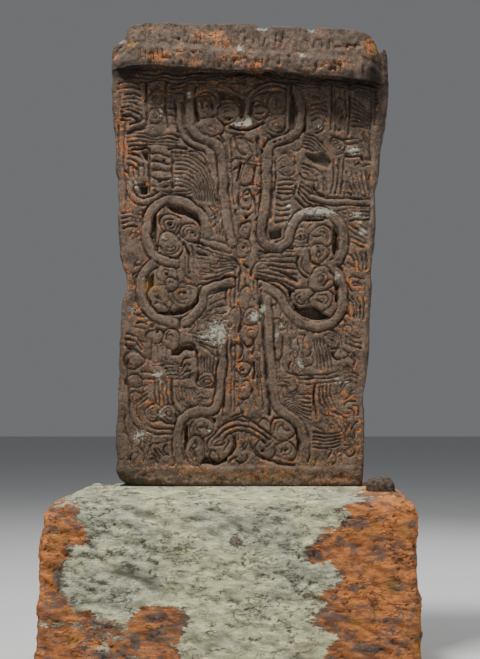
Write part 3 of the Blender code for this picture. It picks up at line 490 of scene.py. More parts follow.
# Deep hollows: depth, outline.
HOLLOWS = [
    (1.3, [(-9, 128.4), (-3, 127.2), (0.4, 126), (0.5, 119), (-0.6, 117.6), (-1.6, 119.5), (-2, 122.4),
     (-3.6, 124), (-7.6, 124.6)]),
    (1.2, [(2.3, 124.6), (3.8, 125.4), (4, 123), (2.9, 119.2), (2.3, 119.4)]),
    (1.6, [(15.2, 127), (17, 126.4), (17.6, 120), (16.6, 115), (15.6, 113.8), (15.1, 118)]),
    (1.9, [(-16, 119), (-15.9, 126), (-15, 126), (-14.4, 119), (-13.6, 115), (-14.6, 115)]),
    (1.5, [(-33.4, 107.8), (-30.6, 107.8), (-30.6, 103.6), (-32, 104.4)]),
    (1.7, [(-34, 96.6), (-30.8, 96.8), (-30.8, 93.6), (-33.4, 93.6)]),
    (1.2, [(20.2, 107.2), (24, 107), (26.8, 107.4), (28.8, 104.6), (28.4, 101.6), (25.6, 102.2),
     (22, 104.4), (20.4, 105.4)]),
    (1.7, [(-25, 89.9), (-20, 90.2), (-16.6, 88), (-14, 85.6), (-12.8, 82), (-13.4, 81), (-15, 84.4),
     (-19, 86.6), (-23.6, 88.2)]),
    (1.6, [(-29.7, 87), (-28, 88.4), (-27.6, 84), (-27.8, 78), (-26.6, 75.2), (-28, 74.6), (-29.8, 79)]),
    (1.7, [(-30.8, 67), (-28.6, 68.4), (-28.4, 61), (-30, 56.4), (-31, 60)]),
    (2.0, [(29.1, 84), (31, 80.6), (31, 76), (29.2, 73), (28.6, 75), (28.8, 79.6)]),
    (2.0, [(16.2, 58.6), (18, 57.2), (23, 57.3), (26.4, 55.2), (29, 53.8), (26, 52.7), (22.6, 52.7),
     (19, 54), (16.6, 56)]),
    (1.8, [(13.8, 63), (16.4, 62.4), (16.4, 58.6), (15.4, 58.6)]),
    (1.7, [(18.2, 85), (21, 86.2), (27, 86), (26, 84.8), (21, 84.6)]),
    (2.0, [(28.6, 66.8), (30.6, 64), (31, 58.4), (29.8, 58.4), (29.6, 62)]),
    (1.3, [(8.4, 82), (8.4, 78.2), (12.4, 79), (12.8, 83)]),
    (1.7, [(-30, 55.4), (-23.2, 56.4), (-22.2, 56), (-15.6, 58.6), (-14.2, 63.6), (-14, 58), (-18, 55),
     (-21.4, 54.2), (-26, 54.6)]),
    (1.6, [(-23.2, 43.4), (-20.6, 45), (-16.4, 45.2), (-15.2, 43.2), (-16.2, 42.6), (-18.6, 43),
     (-20.6, 41.2), (-23.2, 41.4)]),
    (1.8, [(-12, 9.6), (-8, 7.8), (-4, 10), (-5, 7.4), (-9, 6.2), (-14, 6.8)]),
    (1.8, [(-19, 18), (-17.6, 19.8), (-17, 15), (-18.6, 9), (-19.2, 13)]),
    (1.8, [(16.2, 20.4), (17.6, 18), (18.2, 13), (17.6, 8.6), (16.8, 12), (16.8, 16)]),
    (1.8, [(9, 22), (13, 22.2), (15.4, 20.4), (13, 21.4), (10.4, 21)]),
    (1.8, [(-16, 21.6), (-12, 22.4), (-8.6, 21.6), (-8.8, 18), (-10, 21), (-13.4, 22)]),
    (1.5, [(40.2, 135), (42, 137.4), (44.2, 136.6), (44, 130.6), (40.4, 131.4)])]
# Ovals: across, up, half width, half height, rings, and from and to which angle they run.
OVALS = [
    (-28.2, 125.2, 2.2, 2.2, 1, 0, 300), (-28, 119.6, 2.2, 2.4, 1, 60, 360),
    (-11.6, 122.6, 3.4, 4.4, 1, -60, 150), (-4.8, 120.4, 3.1, 3.3, 2, 10, 170),
    (-10.6, 115.9, 4.3, 2.7, 1, 150, 330), (11, 116.4, 3.6, 3.7, 2, 90, 300),
    (11.2, 123.6, 3.0, 3.6, 2, 120, 300), (5.4, 121.2, 2.4, 2.6, 0, 0, 0),
    (31.4, 120.4, 1.7, 4.6, 1, 0, 360), (30.8, 109.6, 2.3, 2.2, 2, 0, 360),
    (13.6, 103.2, 3.0, 3.3, 2, 30, 300), (1.4, 100, 1.9, 3.1, 0, 0, 360), (1, 91.6, 1.8, 2.6, 1, 200, 400),
    (0.3, 76.3, 2.3, 2.6, 0, 0, 360), (0.8, 82, 1.6, 2.3, 1, 20, 200), (-23.4, 83.9, 3.4, 3.0, 2, 60, 360),
    (-17, 81.2, 3.0, 2.6, 2, -60, 220), (-23.7, 77, 3.9, 3.7, 3, 190, 360),
    (-24.4, 67.9, 3.1, 2.9, 1, 20, 250), (-26.2, 60, 3.7, 4.3, 1, 120, 400),
    (-19.2, 61, 4.0, 4.1, 2, 0, 330), (-23, 64.4, 1.9, 1.9, 1, 0, 180), (18.7, 79.6, 3.2, 3.2, 2, 60, 400),
    (25.2, 79.4, 3.5, 3.6, 3, -50, 120), (24.4, 74.4, 3.0, 2.6, 1, 180, 400),
    (25.3, 66.2, 3.6, 3.9, 2, -20, 170), (19.2, 60.2, 3.2, 3.3, 2, 100, 330),
    (25.4, 59.2, 3.4, 3.2, 2, -60, 130), (-1.8, 42, 1.6, 2.6, 0, 0, 360), (0.1, 37.4, 2.2, 1.9, 1, 90, 250),
    (0.8, 30.4, 1.7, 2.4, 0, 0, 360), (1.8, 48.6, 2.5, 3.4, 1, 170, 330), (2.6, 54, 2.3, 2.6, 1, 0, 180),
    (0.8, 60.4, 1.5, 3.2, 0, 0, 360), (-13.3, 18.2, 3.3, 3.2, 2, 0, 250), (-7, 12.9, 3.9, 3.6, 2, -60, 200),
    (-15.2, 11, 3.2, 3.9, 2, 60, 300), (12.5, 17.8, 3.3, 3.4, 2, -10, 190),
    (13.6, 11, 3.3, 2.6, 1, 20, 160), (7.2, 11.9, 3.1, 2.5, 0, 0, 360), (-9.3, 9.4, 1.1, 1.3, 0, 0, 360),
    (-23.2, 47, 3.0, 2.7, 1, 0, 200), (-28.2, 47.6, 2.3, 2.0, 0, 0, 360), (-35, 40, 2.6, 2.6, 1, 30, 260),
    (-34.7, 33.2, 2.2, 2.1, 0, 0, 360), (-28.9, 23.3, 2.2, 2.4, 2, 60, 300),
    (-24, 22.8, 2.8, 2.3, 2, 0, 360), (-34.6, 28.2, 1.7, 1.6, 1, 0, 360),
    (-11.7, 33.6, 2.4, 2.5, 2, 0, 360), (28.6, 46.4, 2.1, 2.1, 1, -60, 200),
    (31.4, 42, 1.9, 1.4, 0, 0, 360)]
# Round holes: across, up, radius.
HOLES = [
    (0.9, 86.2, 0.75), (0.9, 91.5, 0.6), (0.3, 76.3, 0.8), (-26.9, 98, 0.8), (-25.7, 104.7, 0.6),
    (-28.1, 119, 0.5), (-11.6, 122.7, 0.6), (-4.6, 118.4, 0.7), (-23.6, 83.8, 0.6), (-16.5, 81.2, 0.65),
    (-24.4, 67.7, 0.6), (-19, 61.9, 0.55), (-27.4, 49, 0.6), (-13.4, 18.4, 0.65), (13.5, 11, 0.6),
    (6, 11.2, 0.7), (24.4, 75, 0.5), (18.7, 80, 0.5), (19.2, 76.4, 0.6), (0.1, 37, 0.5), (28.6, 46.4, 0.5),
    (13.9, 90.4, 0.6), (10.2, 110.9, 0.5), (12, 111.3, 0.4), (13.6, 111.8, 0.4)]
# Bands: width, strands, path. Later ones lie over earlier ones.
BANDS = [
    (1.5, 1, [(-20.8, 124.6), (-20.6, 119), (-20.1, 115), (-18.4, 111.8), (-15.4, 109.6), (-12, 108.6),
     (-10.9, 106.8)]),
    (1.7, 1, [(-36.5, 98.6), (-36.4, 95), (-35.3, 92.6), (-33, 91.5), (-30, 91.7), (-28, 92.7),
     (-26.4, 93.8)]),
    (1.2, 1, [(-38.6, 120.5), (-37.4, 120.4), (-34.8, 119.6), (-33, 117.6)]),
    (1.5, 1, [(-36.8, 115.6), (-33.6, 116.6), (-31.6, 117.4)]),
    (0.9, 1, [(14.4, 129.4), (14.6, 122), (14.5, 116), (13.4, 113.8), (11, 113)]),
    (1.3, 1, [(1.4, 125.4), (1.4, 118.4)]), (0.8, 1, [(0.8, 125.2), (-2.4, 127), (-5, 128.6)]),
    (0.8, 1, [(1.8, 125.4), (4, 128), (7, 129.6), (11, 129.8), (14.4, 128.6)]),
    (1.5, 1, [(21.6, 93), (25.6, 91.6), (30, 91.3), (36, 91.3), (41, 91)]),
    (2.4, 1, [(16.9, 127.4), (18.6, 124), (19, 119), (17.9, 114.8), (15.4, 112.7), (11.4, 111.3),
     (8.8, 110), (7.9, 107)]),
    (2.8, 1, [(7.8, 108.6), (7.7, 102), (7.6, 94), (6.9, 88), (6.2, 84), (6.0, 79.6)]),
    (2.6, 1, [(-16.6, 129.4), (-17.3, 126), (-17.4, 120), (-16.5, 115), (-14, 112.2), (-10.6, 110.9),
     (-7.9, 109.4), (-7, 105.5), (-6.5, 98), (-5.9, 91), (-5, 85), (-4, 80), (-3, 76.6)]),
    (2.4, 1, [(-3, 65.4), (-5, 65.0), (-8, 64.4), (-11.6, 63.2), (-12.9, 60), (-13.2, 58)]),
    (2.5, 1, [(-6.0, 52), (-6.4, 46), (-6.5, 41), (-6.8, 36), (-7.5, 30), (-8.2, 26.2), (-10, 24.2),
     (-12.4, 23.8), (-14.6, 23.9), (-17.4, 23), (-19.6, 20.6), (-20.8, 17.4), (-21.2, 13.6), (-20.9, 10.6),
     (-20, 7.4)]),
    (2.6, 1, [(7.8, 60), (8.1, 54), (8.5, 46), (9, 40), (9.7, 32), (10.2, 27.4), (11.2, 24.8), (13.4, 23.2),
     (16, 21.6), (18.4, 18.6), (19.5, 14.8), (19.6, 11), (19, 7.6)]),
    (2.6, 1, [(-20.6, 71.3), (-25, 71.9), (-28.4, 73.6), (-30.3, 76.4), (-31, 79.5), (-30.9, 84),
     (-29.8, 88), (-27.4, 90.6), (-23, 91.9), (-18.4, 91), (-15, 88.8), (-12.6, 85.8), (-11.4, 82.4),
     (-11.2, 80)]),
    (2.6, 1, [(-28.4, 71.4), (-31.2, 69.4), (-32.6, 66), (-32.7, 61.6), (-31.8, 58), (-29.4, 55),
     (-26, 53.2), (-22.6, 52.2), (-20.9, 51.4)]),
    (2.6, 1, [(-19.8, 51.8), (-17.2, 53.3), (-14.8, 55.4), (-13.3, 58.2), (-12.8, 60.6)]),
    (2.6, 1, [(6.1, 81), (6.5, 78.6), (8.4, 76.8), (11.6, 76.6), (14.2, 78.6), (15.3, 82), (17.4, 86),
     (20.8, 88), (25, 88.1), (29, 86.6), (31.6, 83.4), (32.5, 79.6), (32.3, 75.6), (30.8, 72.6),
     (28.8, 71)]),
    (2.6, 1, [(28.8, 70), (31, 67.4), (32.2, 63.6), (32.3, 59), (31.2, 55), (29, 52.2), (25.6, 50.9),
     (21.8, 51), (18.4, 52.2), (15.6, 54.6), (13.6, 57.8), (11.4, 60.9), (8.4, 63), (5.8, 64.2)]),
    (2.6, 2, [(-7.6, 15.6), (-5.6, 17.8), (-2.8, 18.9), (0, 18.9), (3.2, 18), (6.4, 16), (8.2, 14.6)])]
# The plain border's inner edge on either side, by height, and where the field begins.
FIELD_LEFT = [(0, -37.2), (60, -36.4), (72, -37.4), (90, -38.8), (136, -40.6)]
FIELD_RIGHT = [(0, 37.2), (48, 38.8), (90, 41.2), (137, 44.4)]
FIELD_FOOT, BORDER_SLOPE = 5.4, 0.6
# The field's ground lies this deep, give or take two noises: strength, size, seed, octaves.
GROUND_DEPTH, GROUND_LAYERS = 0.42, ((0.22, 5.0, 24, 2), (0.26, 1.5, 25, 2))
HOLLOW_SHARE, GROOVE_SHARE, HOLE_DEPTH = 1.5, 0.88, 2.0
# The gap between the lower left ring's two ends: path, width, depth.
RING_GAP = ([(-20.3, 53.8), (-20.3, 50.2)], 1.3, 1.8)
# Small strokes between the traced ones: how many tries, within which part of the face, how wide,
# and how far round a stroke its ground has to lie between two depths.
FILLER_TRIES = 3600
FILLER_ACROSS, FILLER_UP, FILLER_WIDTH = (-39, 43), (6, 134), 0.8
FILLER_MARGIN, SHALLOWEST_GROUND, DEEPEST_GROUND = 0.62, 0.1, 0.95


def carve_face(face):
    """Cuts everything in the tables, from the ground of the field to the bands."""
    flat = 0 * face.x
    left = edge_line(FIELD_LEFT, face.z, 0.2, 21)
    right = edge_line(FIELD_RIGHT, face.z, 0.2, 22)
    foot = face.z - FIELD_FOOT + 0.6 * grain(face.x, flat, flat, 5, 23, 2)
    inside = (ease(face.x - left, 0, BORDER_SLOPE) * ease(right - face.x, 0, BORDER_SLOPE)
              * ease(foot, 0, 0.9))
    face.depth = inside * layered(GROUND_DEPTH, face.x, face.z, flat, GROUND_LAYERS)
    for deep, outline in HOLLOWS:
        face.hollow(outline, HOLLOW_SHARE * deep)
    for count, first, last in COMBS:
        face.comb(count, first, last)
    for across, up, wide, tall, rings, start, end in OVALS:
        face.lobe(across, up, wide, tall, rings, start, end)
    for width, deep, path in GROOVES:
        face.groove(curve_through(path), 0.85 + 0.5 * (width - 0.6), GROOVE_SHARE * deep)
    chance = np.random.default_rng(35)
    for _ in range(FILLER_TRIES):
        x, z = chance.uniform(*FILLER_ACROSS), chance.uniform(*FILLER_UP)
        turn = 3.2 * grain(x, 0.0, z, 11.0, 36) + chance.uniform(-0.25, 0.25)
        along = np.linspace(-1, 1, 6) * chance.uniform(1.0, 2.6)
        angle = turn + chance.uniform(-0.35, 0.35) * along
        path = np.stack([x + along * np.cos(angle), z + along * np.sin(angle)], axis=1)
        where, distance, _, _ = face.near(path, 0.9)
        ground = face.depth[where][distance < FILLER_MARGIN]
        if ground.size and ground.max() < DEEPEST_GROUND and ground.min() > SHALLOWEST_GROUND:
            face.groove(path, FILLER_WIDTH, chance.uniform(0.6, 1.3))
    for width, strands, path in BANDS:
        face.strip(curve_through(path), width, strands)
    for across, up, radius in HOLES:
        face.groove([(across - 0.1, up), (across + 0.1, up)], 1.7 * radius, HOLE_DEPTH)
    face.groove(*RING_GAP)


# The rows of strokes: from and to which share of the cornice's height, and from where to where.
STROKE_ROWS = ((0.10, 0.42, -33, 39), (0.54, 0.88, -35, 41))
DEEP_STROKE, STROKE_WITH_BAR = 0.55, 0.5


def carve_inscription(face, rise):
    """Two rows of worn strokes on the cornice, which only stand for an inscription."""
    chance = np.random.default_rng(41)
    for low, high, start, end in STROKE_ROWS:
        x = start
        while x < end:
            tall = chance.uniform(0.35, 1.0)
            lean = chance.uniform(-0.9, 0.9)
            width = chance.uniform(0.7, 1.2)
            deep = chance.uniform(0.25, 0.8)
            share = (rise - low) / ((high - low) * tall)
            middle = x + lean * (share - 0.5)
            mask = ease(share, -0.05, 0.1) * (1 - ease(share, 0.9, 1.05))
            face.depth += deep * mask * (1 - np.minimum(np.abs(face.x - middle) / (width / 2), 1) ** 2)
            if deep > DEEP_STROKE:
                stroke = np.where(mask > 0.6, 1.3 * np.abs(face.x - middle) / face.worn, NO_CUT)
                face.line = np.minimum(face.line, stroke)
            if chance.random() < STROKE_WITH_BAR:
                level = low + (high - low) * chance.uniform(0.2, 0.8)
                across = ease(face.x, x, x + 0.3) * (1 - ease(face.x, x + 1.8, x + 2.3))
                face.depth += 0.9 * deep * across * np.maximum(1 - np.abs(rise - level) / 0.06, 0)
                stroke = np.where(across > 0.5, 15 * np.abs(rise - level) / face.worn, NO_CUT)
                face.line = np.minimum(face.line, stroke)
            x += chance.uniform(1.3, 2.7)


FINER = 2
BEND_ACROSS, BEND_UP = ((0.5, 3.4, 31, 2), (0.2, 1.1, 32, 1)), ((0.5, 3.4, 33, 2), (0.2, 1.1, 34, 1))
CREASE_HEIGHT, CREASE_TILT, CREASE_WIDTH, CREASE_DEPTH = 0.47, 0.0012, 0.06, 0.45
CORNICE_WEAR = 0.85


def carve_slab():
    """The front's points across, up and forward, their depth and distance to a cut, in cm.

    Everything is cut on a grid twice as fine, then averaged over neighbours in the shares
    1, 2, 1 along both ways, and every other point is kept. Noise bends the lines a little.
    """
    across, up, forward = face_grid(FINER)
    flat = 0 * across
    face = Carving(layered(across, across, flat, up, BEND_ACROSS), layered(up, across, flat, up, BEND_UP))
    carve_face(face)
    lip = FINER * FIELD_ROWS
    face.depth[lip:] *= 0
    face.depth[:lip] *= np.clip((lip - np.arange(lip)[:, None]) / 2, 0, 1)
    rows = np.arange(across.shape[0])[:, None] - FINER * (FIELD_ROWS + LIP_ROWS)
    rise = np.broadcast_to(rows / (FINER * CORNICE_ROWS), across.shape)
    top = Carving(across, up)
    carve_inscription(top, rise)
    crease = CREASE_HEIGHT - CREASE_TILT * across + 0.05 * grain(across, flat, flat, 6.0, 44, 2)
    top.depth += (CREASE_DEPTH * np.exp(-((rise - crease) / CREASE_WIDTH) ** 2)
                  + CREASE_DEPTH * ease(rise, crease - CREASE_WIDTH / 2, crease + CREASE_WIDTH))
    top.depth += CORNICE_WEAR * grain(across, up, flat, 3.0, 45, 4, 0.75) + 0.1
    cut = face.depth + top.depth * ease(rise, -0.04, 0.06)
    for _ in ("up", "across"):
        padded = np.pad(cut, 1, mode="edge")
        cut = ((padded[:-2] + 2 * padded[1:-1] + padded[2:])[:, 1:-1] / 4).T
    face.line[lip:] = np.where(rise[lip:] > 0.02, 1.15 * top.line[lip:], NO_CUT)
    return [values[::FINER, ::FINER] for values in (across, up, forward, cut, face.line)]


def blur(field, times):
    """Averages each point with its neighbours along both ways of the grid."""
    for _ in range(times):
        padded = np.pad(field, 1, mode="edge")
        field = (0.5 * padded[1:-1, 1:-1]
                 + 0.125 * (padded[:-2, 1:-1] + padded[2:, 1:-1]
                            + padded[1:-1, :-2] + padded[1:-1, 2:]))
    return field


def ring_of(grid):
    """The values round a grid's edge: along the bottom, up the right, back and down."""
    return np.concatenate([grid[0, :-1], grid[:-1, -1], grid[-1, :0:-1], grid[:0:-1, 0]])


def strip(first, second):
    """Faces between two rings, of which the second may have half as many points."""
    ahead = np.roll(second, -1)
    if len(first) == len(second):
        return [np.stack([first, second, ahead, np.roll(first, -1)], axis=1)]
    near, middle, far = first[0::2], first[1::2], np.roll(first, -2)[0::2]
    threes = ((near, second, middle), (middle, second, ahead), (middle, ahead, far))
    return [np.stack(three, axis=1) for three in threes]


def grid_faces(index):
    """The four-sided faces of a grid of point numbers, turned as the grid's own turn is."""
    return np.stack([index[:-1, :-1], index[:-1, 1:], index[1:, 1:], index[1:, :-1]],
                    axis=2).reshape(-1, 4)


# Rings round the slab's sides: at which share of its thickness, and whether all points of the
# ring before are kept (1) or every second one (2). The bumps on the sides and back are in metres.
SIDE_RINGS = ((0.012, 1), (0.045, 1), (0.09, 2), (0.16, 1), (0.25, 1), (0.34, 1), (0.44, 1),
              (0.54, 1), (0.64, 1), (0.74, 1), (0.84, 1), (0.93, 1), (1.0, 2))
WEATHER_LAYERS = ((0.16, 6.0, 51, 3), (0.12, 1.6, 52, 2), (0.10, 0.7, 53, 1))
PIT_DEPTH, EDGE_WEAR, EDGE_WEAR_WIDTH = 0.32, 0.75, 3
ROUND_ABOUT = 9
FARTHEST_LINE = 1.2
PLAIN_STONE = (0.0, 0.5, FARTHEST_LINE)
SIDE_BUMPS, BACK_BUMPS = 0.007, 0.004


def slab_mesh():
    """The slab's closed mesh, and how deep, how proud and how far from a cut each point is.

    The front is its grid, pushed back by what is cut and worn off. Each ring is the front's
    rim, pushed towards the back by its share and out by noise. The back's inner points are
    blends of the last ring's left and right, at heights between its foot's and its top's.
    A point stands proud by how much deeper the stone round it is cut, and 0.5 is level.
    On the cornice's underside it is held low, which paints shade there.
    """
    x, z, forward, cut, line = carve_slab()
    flat = 0 * x
    weather = layered(0.0, x, flat, z, WEATHER_LAYERS)
    weather += 0.45 * grain(x, flat, z, 2.0, 56, 3) * (1 - ease(z, 2, 7))
    pits = ease(grain(x, flat, z, 1.1, 54, 2), 0.30, 0.65)
    worn = cut + weather + PIT_DEPTH * pits
    from_side = np.minimum(x - left_side(z), right_side(z) - x)
    worn += EDGE_WEAR * (1 - np.minimum(from_side, EDGE_WEAR_WIDTH) / EDGE_WEAR_WIDTH) ** 3

    # The foot is worn away most at its left corner, and its plain border is rough.
    worn += 2.2 * ease(-x, 24, 38) * (1 - ease(z, 0.4, 2.6)) + 0.35 * (1 - ease(z, 0, 0.9))
    worn += (1 - ease(z, 2, 5)) * (0.25 + 0.9 * grain(x, flat, z, 3.4, 55, 4, 0.7))
    proud = np.clip((blur(cut, ROUND_ABOUT) - cut - 0.3 * pits) * 0.6 + 0.5, 0, 1)
    # The cornice's underside is held low, so that it gets painted shade.
    underside = slice(FIELD_ROWS, FIELD_ROWS + LIP_ROWS)
    proud[underside] = np.minimum(proud[underside], np.linspace(0.05, 0.40, LIP_ROWS)[:, None])
    front = np.stack([AXIS + x * CM, FACE + (worn - forward) * CM, FOOT + z * CM], axis=2)

    points = [front.reshape(-1, 3)]
    shades = [np.stack([cut, proud, np.minimum(line, FARTHEST_LINE)], axis=2).reshape(-1, 3)]
    index = np.arange(front.shape[0] * front.shape[1]).reshape(front.shape[:2])
    faces = [grid_faces(index)]
    total = index.size
    ring, base = ring_of(index), ring_of(front)
    for share, coarser in SIDE_RINGS:
        base = base[::coarser]
        pushed = base.copy()
        pushed[:, 1] += share * (BACK - base[:, 1])
        tangent = np.roll(base, -3, axis=0) - np.roll(base, 3, axis=0)
        outward = np.stack([tangent[:, 2], 0 * tangent[:, 0], -tangent[:, 0]], axis=1)
        outward /= np.maximum(np.linalg.norm(outward, axis=1, keepdims=True), 1e-6)
        bump = SIDE_BUMPS * grain(*(pushed.T / CM), 9.0, 61, 4, 0.6) + 0.004 * (1 - share)
        bump -= 0.009 * ease(share, 0.9, 1.0)
        bump *= ease(share, 0.0, 0.1) * ease(pushed[:, 2] - FOOT, 0.0, 0.02)
        pushed += outward * bump[:, None]
        numbers = total + np.arange(len(pushed))
        faces += strip(ring, numbers)
        points.append(pushed)
        shades.append(np.tile(PLAIN_STONE, (len(pushed), 1)))
        ring, total = numbers, total + len(pushed)

    coarsest = math.prod(coarser for share, coarser in SIDE_RINGS)
    rows, columns = (front.shape[0] - 1) // coarsest, (front.shape[1] - 1) // coarsest
    inner = np.zeros((rows + 1, columns + 1, 3))
    numbers = np.zeros((rows + 1, columns + 1), dtype=int)
    bottom, right, upper = columns, columns + rows, 2 * columns + rows
    for target, source in ((inner, points[-1]), (numbers, ring)):
        target[0, :columns] = source[:bottom]
        target[:rows, columns] = source[bottom:right]
        target[rows, :0:-1] = source[right:upper]
        target[:0:-1, 0] = source[upper:]
    share_x = np.linspace(0, 1, columns + 1)[None, 1:-1, None]
    share_z = np.linspace(0, 1, rows + 1)[1:-1, None, None]
    inner[1:-1, 1:-1] = inner[1:-1, :1] * (1 - share_x) + inner[1:-1, -1:] * share_x
    lift = inner[:1, 1:-1] * (1 - share_z) + inner[-1:, 1:-1] * share_z
    inner[1:-1, 1:-1, 2] = lift[:, :, 2]
    middle = inner[1:-1, 1:-1].reshape(-1, 3)
    middle[:, 1] += BACK_BUMPS * grain(*(middle.T / CM), 12.0, 62, 4, 0.6) - BACK_BUMPS
    numbers[1:-1, 1:-1] = total + np.arange(len(middle)).reshape(rows - 1, columns - 1)
    points.append(middle)
    shades.append(np.tile(PLAIN_STONE, (len(middle), 1)))
    faces.append(grid_faces(numbers)[:, ::-1])
    return np.vstack(points), faces, np.vstack(shades).T


def make_piece(name, points, faces, **shades):
    """A mesh object from arrays of points and faces, with one named shade a point."""
    mesh = bpy.data.meshes.new(name)
    counts = np.concatenate([np.full(len(group), group.shape[1]) for group in faces])
    corners = np.concatenate([group.ravel() for group in faces]).astype(np.int32)
    mesh.vertices.add(len(points))
    mesh.vertices.foreach_set("co", np.asarray(points, dtype=np.float32).ravel())
    mesh.loops.add(len(corners))
    mesh.loops.foreach_set("vertex_index", corners)
    mesh.polygons.add(len(counts))
    mesh.polygons.foreach_set("loop_start",
                              np.concatenate([[0], np.cumsum(counts)[:-1]]).astype(np.int32))
    mesh.polygons.foreach_set("use_smooth", np.full(len(counts), True))
    mesh.update(calc_edges=True)
    mesh.validate()
    for shade, values in shades.items():
        layer = mesh.attributes.new(shade, "FLOAT", "POINT")
        layer.data.foreach_set("value", np.asarray(values, dtype=np.float32))
    piece = bpy.data.objects.new(name, mesh)
    bpy.context.scene.collection.objects.link(piece)
    return piece


class Shade:
    """A socket of a material, on which Python's own operators add Math nodes."""

    def __init__(self, finish, socket):
        self.finish, self.socket = finish, socket

    def maths(self, operation, first, second=0.0, clamp=False):
        """A Math node on two values or sockets."""
        node = self.finish.node("ShaderNodeMath", {"operation": operation, "use_clamp": clamp},
                                {0: first, 1: second})
        return Shade(self.finish, node.outputs[0])

    def __add__(self, other):
        return self.maths("ADD", self, other)

    __radd__ = __add__

    def __sub__(self, other):
        return self.maths("SUBTRACT", self, other)

    def __rsub__(self, other):
        return self.maths("SUBTRACT", other, self)

    def __mul__(self, other):
        return self.maths("MULTIPLY", self, other)

    __rmul__ = __mul__

    def size(self):
        """The same without its sign."""
        return self.maths("ABSOLUTE", self)

    def held(self):
        """The same, held between 0 and 1."""
        return self.maths("ADD", self, 0.0, True)

    def eased(self, low, high):
        """0 below low and 1 above high, eased between."""
        node = self.finish.node("ShaderNodeMapRange", {"interpolation_type": "SMOOTHSTEP"},
                                {"Value": self, "From Min": low, "From Max": high})
        return Shade(self.finish, node.outputs["Result"])


class Finish:
    """One stone's material, with the few ways in which its nodes are added."""

    def __init__(self, name, roughness=0.92):
        self.material = bpy.data.materials.new(name)
        self.material.use_nodes = True
        self.tree = self.material.node_tree
        self.shader = self.tree.nodes["Principled BSDF"]
        self.shader.inputs["Roughness"].default_value = roughness
        self.shader.inputs["Specular IOR Level"].default_value = 0.25
        self.place = self.node("ShaderNodeTexCoord").outputs["Object"]

    def node(self, kind, settings=None, sockets=None):
        """A node of a kind, with its settings and then its sockets' values or links."""
        made = self.tree.nodes.new(kind)
        for name, value in (settings or {}).items():
            setattr(made, name, value)
        for key, value in (sockets or {}).items():
            self.feed(made.inputs[key], value)
        return made

    def feed(self, socket, value):
        """Links a socket to another, or sets it to a number, vector or colour."""
        value = value.socket if isinstance(value, Shade) else value
        if isinstance(value, bpy.types.NodeSocket):
            self.tree.links.new(value, socket)
        elif socket.type == "RGBA":
            socket.default_value = (*value, 1.0)
        else:
            socket.default_value = value

    def noise(self, scale, detail=4.0, roughness=0.55, stretch=(1, 1, 1), shift=0.0):
        """Soft noise round 0.5, squeezed along the axes whose stretch is over 1."""
        place = self.node("ShaderNodeMapping", None,
                          {"Vector": self.place, "Scale": stretch, "Location": (shift, shift, -shift)})
        node = self.node("ShaderNodeTexNoise", None,
                         {"Vector": place.outputs[0], "Scale": scale, "Detail": detail,
                          "Roughness": roughness})
        return Shade(self, node.outputs["Fac"])

    def cells(self, scale, shift=0.0):
        """The distance from the middle of the nearest grain, for grains packed side by side."""
        place = self.node("ShaderNodeMapping", None,
                          {"Vector": self.place, "Location": (shift, -shift, shift)})
        node = self.node("ShaderNodeTexVoronoi", None, {"Vector": place.outputs[0], "Scale": scale})
        return Shade(self, node.outputs["Distance"])

    def shade(self, name):
        """A shade that the piece's mesh carries point by point."""
        return Shade(self, self.node("ShaderNodeAttribute", {"attribute_name": name}).outputs["Fac"])

    def mix(self, first, second, factor):
        """The first colour, with a share of the second one over it."""
        node = self.node("ShaderNodeMix", {"data_type": "RGBA"}, None)
        self.feed(node.inputs[0], factor)
        self.feed(node.inputs[6], first)
        self.feed(node.inputs[7], second)
        return node.outputs[2]

    def bump(self, height, strength, distance):
        """Small relief that bends the light and leaves the mesh as it is."""
        node = self.node("ShaderNodeBump", None,
                         {"Height": height, "Strength": strength, "Distance": distance})
        self.feed(self.shader.inputs["Normal"], node.outputs["Normal"])

    def coat(self, piece, colour):
        """Gives the colour to the material, and the material to a piece."""
        self.feed(self.shader.inputs["Base Color"], colour)
        piece.data.materials.append(self.material)


def blobs(x, z, spots):
    """The sum of soft round spots, each (across, up, width, height, strength)."""
    total = np.zeros_like(x)
    for across, up, wide, tall, strength in spots:
        total += strength * np.exp(-((x - across) / wide) ** 2 - ((z - up) / tall) ** 2)
    return np.clip(total, 0, 1)


ORANGE_SPOTS = [
    (-5, 139, 4.6, 3.4, 0.72), (-28, 137, 4, 2.6, 0.8), (3.5, 134.8, 5, 2.2, 0.85),
    (-30, 146.6, 5, 1.4, 0.7), (-8, 143.6, 5, 2.4, 0.55), (-20, 137.4, 5, 2, 0.45), (14, 139, 6, 4, 0.3),
    (30, 136, 8, 2.6, 0.3), (40.5, 141, 2.8, 4, 1.0), (-12, 145.5, 7, 1.6, 0.5), (-41.5, 139, 1.4, 3, 0.6),
    (24, 145, 4, 1.6, 0.4), (32, 141, 3, 3, 0.3), (-16, 134.6, 10, 1.6, 0.3), (26, 133, 14, 2.4, 0.25),
    (-18, 140, 5, 4, 0.25), (-40, 120, 2.5, 14, 0.45), (-38.6, 66, 2.4, 6, 0.9), (-35, 52, 6, 8, 0.35),
    (-30, 30, 9, 10, 0.3), (-20, 4, 18, 4, 0.42), (12, 4, 22, 3.4, 0.42), (30, 1.4, 8, 1.2, 0.5),
    (34, 12, 7, 12, 0.33), (0, 60, 6, 30, 0.22), (36, 60, 6, 26, 0.3), (-36, 96, 5, 22, 0.3),
    (-10, 128, 22, 4, 0.3), (4, 100, 5, 14, 0.24), (-3, 30, 8, 14, 0.26), (28, 26, 10, 8, 0.3)]
OCHRE_SPOTS = [
    (-36.5, 142.4, 2.6, 1.2, 1.0), (42.4, 140.6, 1.4, 2.6, 0.9), (-30, 64, 4, 3, 0.7),
    (0, 2.4, 34, 2.4, 0.62), (-26, 58, 5, 5, 0.25), (22, 8, 12, 3, 0.5), (26, 79, 5, 4, 0.3),
    (-20, 61, 5, 4, 0.3)]
